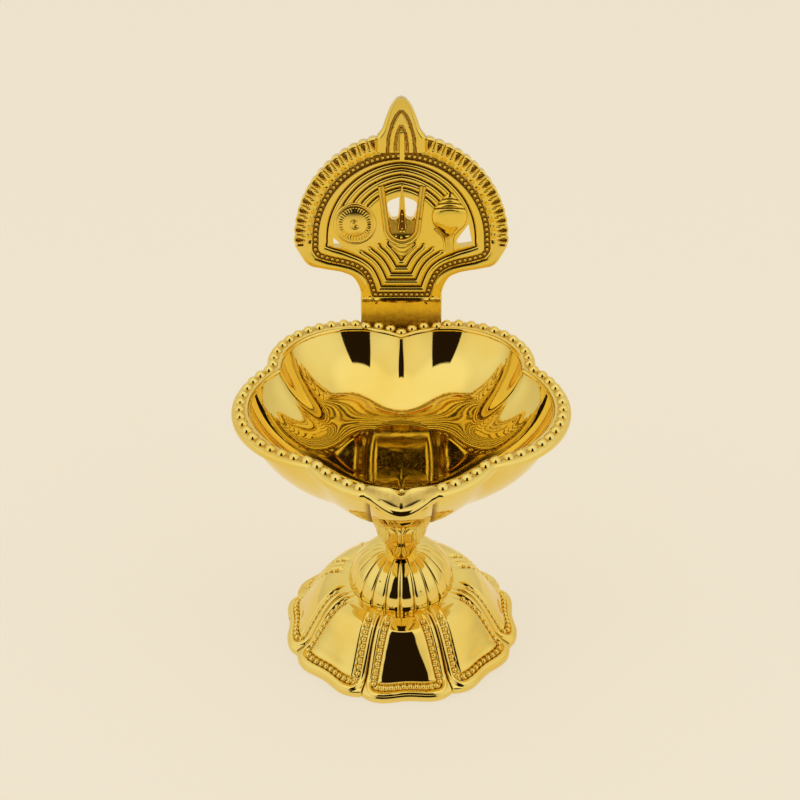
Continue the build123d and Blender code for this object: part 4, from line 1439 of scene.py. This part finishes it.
class LAMP_OT_emblems(bpy.types.Operator):
    """Wheel, conch, U-shaped mark and centre drop on the plate's field"""

    bl_idname = "lamp.emblems"
    bl_label = "Emblems"

    def execute(self, context):
        plate = LampPlate(context.scene)
        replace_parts(self.add_wheel(plate), "wheel_disc")
        conch = add_pillow("conch", plate, CONCH_CENTRE, CONCH_SECTION, 0.4, 2.0, conch_marks)
        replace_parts(conch, "conch_shell")
        add_bar("conch_lip", plate, smooth_curve(CONCH_LIP, 34), 0.32, 0.6, 0.75)
        drop = add_pillow("centre_drop_relief", plate, MARK_CENTRE, DROP_SECTION, 0.3, 1.35, drop_marks)
        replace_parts(drop, "centre_drop")
        centres = plate.place(MARK_CENTRE, np.array(DROP_STUDS), 1.25)
        normals = np.tile(plate.out, (len(DROP_STUDS), 1))
        add_beads("drop_studs", "bowl", "carved_brass", centres, normals, 0.3, 1.0)
        left_turn = (-MARK_TURN[0], MARK_TURN[1])
        arm = np.linspace((-MARK_TOP[0], MARK_TOP[1]), left_turn, 24)
        foot = arc_through(left_turn, MARK_FOOT, MARK_TURN, 40)
        bent = np.concatenate([arm[:-1], foot, arm[-2::-1] * (-1.0, 1.0)]) + (MARK_CENTRE, 0.0)
        mark = add_bar("u_loop", plate, bent, 0.88, 0.45, 1.25, hollow=0.35)
        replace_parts(mark, "u_mark")
        for number, foot_height in enumerate(CHEVRON_FEET):
            half_width = CHEVRON_HALF_WIDTH - 0.5 * number
            top = foot_height + CHEVRON_RISE
            corner = ((-half_width, top), (0.0, foot_height), (half_width, top))
            chevron = smooth_curve(corner, 30) + (MARK_CENTRE, 0.0)
            add_bar(f"mark_chevron_{number}", plate, chevron, 0.24, 0.72, 0.28)
        return {"FINISHED"}

    def add_wheel(self, plate):
        """Disc as rings about its hub: a round rim, an inner ring of painted shade, a band of ticks and a
        spiral hub.
        """
        around = np.linspace(0.0, 2.0 * pi, 145)[:-1]
        radius = np.concatenate([np.linspace(0.12, WHEEL_RADIUS, 60), [WHEEL_RADIUS]])[:, None]
        low_side = 0.35 + 0.65 * smoothstep(0.2, 0.9, np.cos(around + 1.1))
        ticks = smoothstep(0.0, 0.7, np.cos(TICK_COUNT * around)) * smoothstep(*TICK_START, radius)
        ticks = ticks * smoothstep(*TICK_END, radius) * low_side
        spiral = 0.5 + 0.5 * np.cos(2.0 * pi * radius / SPIRAL_PITCH - around)
        swirl = spiral * smoothstep(*SPIRAL_EDGE, radius)
        height = WHEEL_LEVEL + WHEEL_DOMING * (1.0 - (radius / WHEEL_RADIUS) ** 2)
        height = height + WHEEL_RIM_RISE * roll(radius - WHEEL_RIM_LINE, WHEEL_RIM_HALF_WIDTH)
        height = height - TICK_DEPTH * ticks - SPIRAL_DEPTH * swirl
        height[-1] = WHEEL_FOOT
        # Ticks and spiral darkened: patina and painted shade; the inner ring has no groove cut and is only
        # painted shade
        recess = np.maximum(0.3 * ticks, 0.25 * swirl)
        groove = smoothstep(0.16, 0.05, np.abs(radius - WHEEL_GROOVE)) + 0.0 * around
        recess = np.maximum(recess, 0.4 * groove)
        # Painted shade on the disc's edge down to the plate
        recess[-1] = 0.9
        x = WHEEL_CENTRE[0] + radius * np.cos(around)
        up = WHEEL_CENTRE[1] + radius * np.sin(around)
        rows = plate.place(x, up, height)
        poles = (plate.place(*WHEEL_CENTRE, 1.35), plate.place(*WHEEL_CENTRE, WHEEL_FOOT))
        return add_shell("wheel", "bowl", "carved_brass", rows, poles, recess, 50.0)


class LAMP_OT_finial(bpy.types.Operator):
    """Leaf finial with nested pointed arches, and the rib that runs down from it"""

    bl_idname = "lamp.finial"
    bl_label = "Finial"

    def execute(self, context):
        plate = LampPlate(context.scene)
        side = smooth_curve(FINIAL_OUTLINE, 80)
        start, tip = FINIAL_OUTLINE[0][1], FINIAL_OUTLINE[-1][1]
        up = np.concatenate([np.linspace(FINIAL_FOOT, start - 0.2, 22), np.linspace(start, tip - 0.15, 74)])
        up = up[:, None]
        edge = np.where(up < start, FINIAL_HALF_WIDTH, np.interp(up, side[:, 1], side[:, 0]))
        share = np.sin(np.linspace(-pi / 2.0, pi / 2.0, 91))
        x = edge * share
        height = np.full(x.shape, FINIAL_LEVEL)
        recess = np.zeros(x.shape)
        # The arch grooves and the inner panel are darkened: patina and painted shade
        for arch, width in ((FINIAL_OUTER_ARCH, 0.46), (FINIAL_INNER_ARCH, 0.4)):
            heights, halves = np.array(arch).T
            half = np.interp(up, heights, halves, right=-1.0)
            lean = np.interp(up, heights, np.gradient(halves, heights))
            off = np.abs(np.abs(x) - half) / np.sqrt(1.0 + lean**2)
            cut = smoothstep(width, 0.4 * width, np.where(half > -0.5, off, 9.0))
            height = height - FINIAL_ARCH_DEPTH * cut
            recess = np.maximum(recess, 0.62 * cut)
        heights, halves = np.array(FINIAL_INNER_ARCH).T
        panel = smoothstep(0.1, 0.35, np.interp(up, heights, halves, right=0.0) - np.abs(x))
        height = height - FINIAL_PANEL_DEPTH * panel - 0.5 * smoothstep(0.75, 1.0, np.abs(share)) ** 2
        recess = np.maximum(recess, 0.45 * panel)
        behind = np.linspace(1.0, -1.0, 12)[1:-1]
        across = np.concatenate([x, edge * behind], axis=1)
        out = np.concatenate([height, np.full((len(up), len(behind)), -0.3)], axis=1)
        depth = np.concatenate([recess, np.zeros((len(up), len(behind)))], axis=1)
        rows = plate.place(across, up, out)
        poles = (rows[0].mean(axis=0), plate.place(0.0, tip - 0.05, 0.1))
        add_shell("finial_leaf", "bowl", "carved_brass", rows, poles, depth, 40.0)
        rib = np.column_stack([np.full(24, MARK_CENTRE), np.linspace(*FINIAL_RIB, 24)])
        taper = 0.6 + 0.4 * roll(np.linspace(-0.6, 1.0, 24), 1.05)
        add_bar("finial_rib", plate, rib, 0.72, 0.35, 0.75, taper=taper)
        return {"FINISHED"}


class LAMP_OT_lug(bpy.types.Operator):
    """Lug under the rim that the plate's tab is riveted to"""

    bl_idname = "lamp.lug"
    bl_label = "Plate lug"

    def execute(self, context):
        plate = LampPlate(context.scene)
        bowl = LampBowl(context.scene.lamp_bowl)
        foot = arc_through((LUG_HALF_WIDTH, LUG_SIDE), (0.0, LUG_DEPTH), (-LUG_HALF_WIDTH, LUG_SIDE), 40)
        top = np.column_stack([np.linspace(-LUG_HALF_WIDTH, LUG_HALF_WIDTH, 30), np.full(30, LUG_TOP)])
        outline = np.concatenate([foot, top])
        middle = outline.mean(axis=0)
        reach = self.wall_depth(plate, bowl, outline)
        shares = np.linspace(0.0, 1.0, 5)
        rows = [plate.place(outline[:, 0], outline[:, 1], reach * share) for share in shares]
        for share in (0.8, 0.6, 0.4, 0.2):
            ring = middle + (outline - middle) * share
            rows.append(plate.place(ring[:, 0], ring[:, 1], self.wall_depth(plate, bowl, ring)))
        deepest = self.wall_depth(plate, bowl, middle[None, :])[0]
        poles = (plate.place(*middle, 0.0), plate.place(*middle, deepest))
        add_shell("plate_lug", "bowl", "polished_brass", np.array(rows), poles, 0.2, 50.0)
        return {"FINISHED"}

    def wall_depth(self, plate, bowl, spots):
        """Distance out from the seat plane to the middle of the bowl's wall, found by halving."""
        low = np.zeros(len(spots))
        high = np.full(len(spots), 24.0)
        for _ in range(20):
            middle = (low + high) / 2.0
            point = plate.place(spots[:, 0], spots[:, 1], middle)
            azimuth = np.arctan2(point[:, 0], -point[:, 1])
            wall = bowl.wall_radius(azimuth, point[:, 2]) - BOWL_WALL / 2.0
            outside = np.hypot(point[:, 0], point[:, 1]) > wall
            low = np.where(outside, middle, low)
            high = np.where(outside, high, middle)
        return low


class LAMP_OT_stage(bpy.types.Operator):
    """Pale floor, white tent, softboxes and the camera"""

    bl_idname = "lamp.stage"
    bl_label = "Stage"

    def execute(self, context):
        stage = context.scene.lamp_stage
        context.scene.view_settings.view_transform = "Standard"
        self.add_floor(stage)
        self.add_tent(context.scene, stage)
        self.add_softboxes(stage)
        self.add_camera(context.scene, stage)
        return {"FINISHED"}

    def add_floor(self, stage):
        around = np.linspace(0.0, 2.0 * pi, FLOOR_SIDES + 1)[:-1]
        rows = rings_about_axis([(radius, 0.0) for radius in FLOOR_RADII], around)
        points = np.concatenate([rows.reshape(-1, 3), [[0.0, 0.0, 0.0]]])
        quads = grid_faces(len(FLOOR_RADII), FLOOR_SIDES)
        triangles = pole_faces(len(FLOOR_RADII), FLOOR_SIDES)[:FLOOR_SIDES]
        mesh = bpy.data.meshes.new("floor")
        mesh.from_pydata((points * MM).tolist(), [], quads.tolist() + triangles.tolist())
        mesh.materials.append(self.backdrop_material(stage))
        floor = bpy.data.objects.new("floor", mesh)
        bpy.context.scene.collection.objects.link(floor)

    def backdrop_material(self, stage):
        """Mostly the backdrop's own cream, with a share of plain diffuse that keeps the lamp's shadow."""
        material = bpy.data.materials.new("cream_floor")
        material.use_nodes = True
        tree = material.node_tree
        tree.nodes.clear()
        cream = add_node(tree, "ShaderNodeEmission", None, Color=(*stage.backdrop, 1.0), Strength=0.82)
        faint = (*(0.2 * part for part in stage.backdrop), 1.0)
        matte = add_node(tree, "ShaderNodeBsdfDiffuse", None, Color=faint)
        both = add_node(tree, "ShaderNodeAddShader")
        end = add_node(tree, "ShaderNodeOutputMaterial")
        tree.links.new(cream.outputs["Emission"], both.inputs[0])
        tree.links.new(matte.outputs["BSDF"], both.inputs[1])
        tree.links.new(both.outputs["Shader"], end.inputs["Surface"])
        return material

    def add_tent(self, scene, stage):
        """World: cream to the camera, and to everything else a white tent that the polished metal mirrors.

        The tent has a dark opening round the camera and a soft glow at the left, at the right and overhead.
        """
        world = bpy.data.worlds.new("tent")
        world.use_nodes = True
        scene.world = world
        tree = world.node_tree
        tree.nodes.clear()
        place = add_node(tree, "ShaderNodeTexCoord")
        split = add_node(tree, "ShaderNodeSeparateXYZ")
        tree.links.new(place.outputs["Generated"], split.inputs["Vector"])
        height = split.outputs["Z"]
        forward = add_math(tree, "MULTIPLY", split.outputs["Y"], -1.0)
        aside = add_math(tree, "ABSOLUTE", add_math(tree, "ARCTAN2", split.outputs["X"], forward), 0.0)
        sill = add_ramp(tree, height, -0.02, 0.03)
        over = add_math(tree, "MULTIPLY", sill, add_ramp(tree, height, 0.91, 0.885))
        wider = add_math(tree, "MULTIPLY", add_ramp(tree, height, 0.35, 0.05), 0.12)
        narrowed = add_math(tree, "SUBTRACT", aside, wider)
        opening = add_math(tree, "MULTIPLY", add_ramp(tree, narrowed, 0.42, 0.39), over)
        cloth = add_mix(tree, add_ramp(tree, height, -0.1, 0.8), (0.84, 0.79, 0.70), (1.0, 0.97, 0.92))
        glows = (
            ((-0.78, -0.3, 0.55), 0.7, 0.99, (1.12, 1.09, 1.04)),
            ((0.78, -0.3, 0.55), 0.7, 0.99, (1.12, 1.09, 1.04)),
            ((0.0, -0.12, 0.993), 0.80, 0.93, (1.24, 1.21, 1.15)),
        )
        for direction, edge, full, colour in glows:
            toward = add_node(tree, "ShaderNodeVectorMath", {"operation": "DOT_PRODUCT"})
            tree.links.new(place.outputs["Generated"], toward.inputs[0])
            toward.inputs[1].default_value = direction
            cloth = add_mix(tree, add_ramp(tree, toward.outputs["Value"], edge, full), cloth, colour)
        tent = add_node(tree, "ShaderNodeBackground", None, Strength=stage.tent)
        tree.links.new(add_mix(tree, opening, cloth, (0.02, 0.012, 0.008)), tent.inputs["Color"])
        cream = add_node(tree, "ShaderNodeBackground", None, Color=(*stage.backdrop, 1.0), Strength=1.0)
        path = add_node(tree, "ShaderNodeLightPath")
        choose = add_node(tree, "ShaderNodeMixShader")
        end = add_node(tree, "ShaderNodeOutputWorld")
        tree.links.new(path.outputs["Is Camera Ray"], choose.inputs[0])
        tree.links.new(tent.outputs["Background"], choose.inputs[1])
        tree.links.new(cream.outputs["Background"], choose.inputs[2])
        tree.links.new(choose.outputs["Shader"], end.inputs["Surface"])

    def add_softboxes(self, stage):
        """Large area lights at the left and the right, which the metal doesn't mirror."""
        target = np.array([0.0, 0.0, 0.06])
        boxes = {
            "softbox_left": ((-0.46, -0.12, 0.30), 0.30, 1.0),
            "softbox_right": ((0.46, -0.10, 0.28), 0.30, 0.9),
        }
        for name, (spot, size, share) in boxes.items():
            light = bpy.data.lights.new(name, "AREA")
            light.shape = "SQUARE"
            light.size = size
            light.energy = stage.softbox * share
            lamp = bpy.data.objects.new(name, light)
            bpy.context.scene.collection.objects.link(lamp)
            back = np.array(spot) - target
            lamp.location = spot
            lamp.visible_glossy = False
            across = np.arctan2(back[1], back[0])
            lamp.rotation_euler = (np.arctan2(np.hypot(back[0], back[1]), back[2]), 0.0, across + pi / 2.0)

    def add_camera(self, scene, stage):
        data = bpy.data.cameras.new("camera")
        data.lens = 67.5
        data.sensor_width = 36.0
        data.shift_x = -0.0016
        data.shift_y = 0.00625
        data.clip_start = 0.01
        camera = bpy.data.objects.new("camera", data)
        camera.location = (0.0, -stage.camera_distance, stage.camera_height)
        camera.rotation_euler = (pi / 2.0 - stage.camera_dip, 0.0, 0.0)
        scene.collection.objects.link(camera)
        scene.camera = camera


STEPS = (
    LAMP_OT_finishes, LAMP_OT_foot, LAMP_OT_dome, LAMP_OT_bowl, LAMP_OT_lug, LAMP_OT_plate, LAMP_OT_finial,
    LAMP_OT_emblems, LAMP_OT_stage,
)
GROUPS = {
    "lamp_foot": LampFootSettings,
    "lamp_bowl": LampBowlSettings,
    "lamp_plate": LampPlateSettings,
    "lamp_finish": LampFinishSettings,
    "lamp_stage": LampStageSettings,
}


class LAMP_PT_panel(bpy.types.Panel):
    """Sidebar panel with the lamp's sizes, colours and steps"""

    bl_idname = "LAMP_PT_panel"
    bl_label = "Brass aarti lamp"
    bl_space_type = "VIEW_3D"
    bl_region_type = "UI"
    bl_category = "Lamp"

    def draw(self, context):
        for group, kind in GROUPS.items():
            box = self.layout.box()
            for name in kind.__annotations__:
                box.prop(getattr(context.scene, group), name)
        for step in STEPS:
            self.layout.operator(step.bl_idname)


def register():
    for kind in (*GROUPS.values(), *STEPS, LAMP_PT_panel):
        bpy.utils.register_class(kind)
    for group, kind in GROUPS.items():
        setattr(bpy.types.Scene, group, bpy.props.PointerProperty(type=kind))


def unregister():
    for group in GROUPS:
        delattr(bpy.types.Scene, group)
    for kind in (LAMP_PT_panel, *reversed(STEPS), *GROUPS.values()):
        bpy.utils.unregister_class(kind)


def main():
    register()
    bpy.ops.lamp.finishes()
    bpy.ops.lamp.foot()
    bpy.ops.lamp.dome()
    bpy.ops.lamp.bowl()
    bpy.ops.lamp.lug()
    bpy.ops.lamp.plate()
    bpy.ops.lamp.finial()
    bpy.ops.lamp.emblems()
    bpy.ops.lamp.stage()


if __name__ == "__main__":
    main()
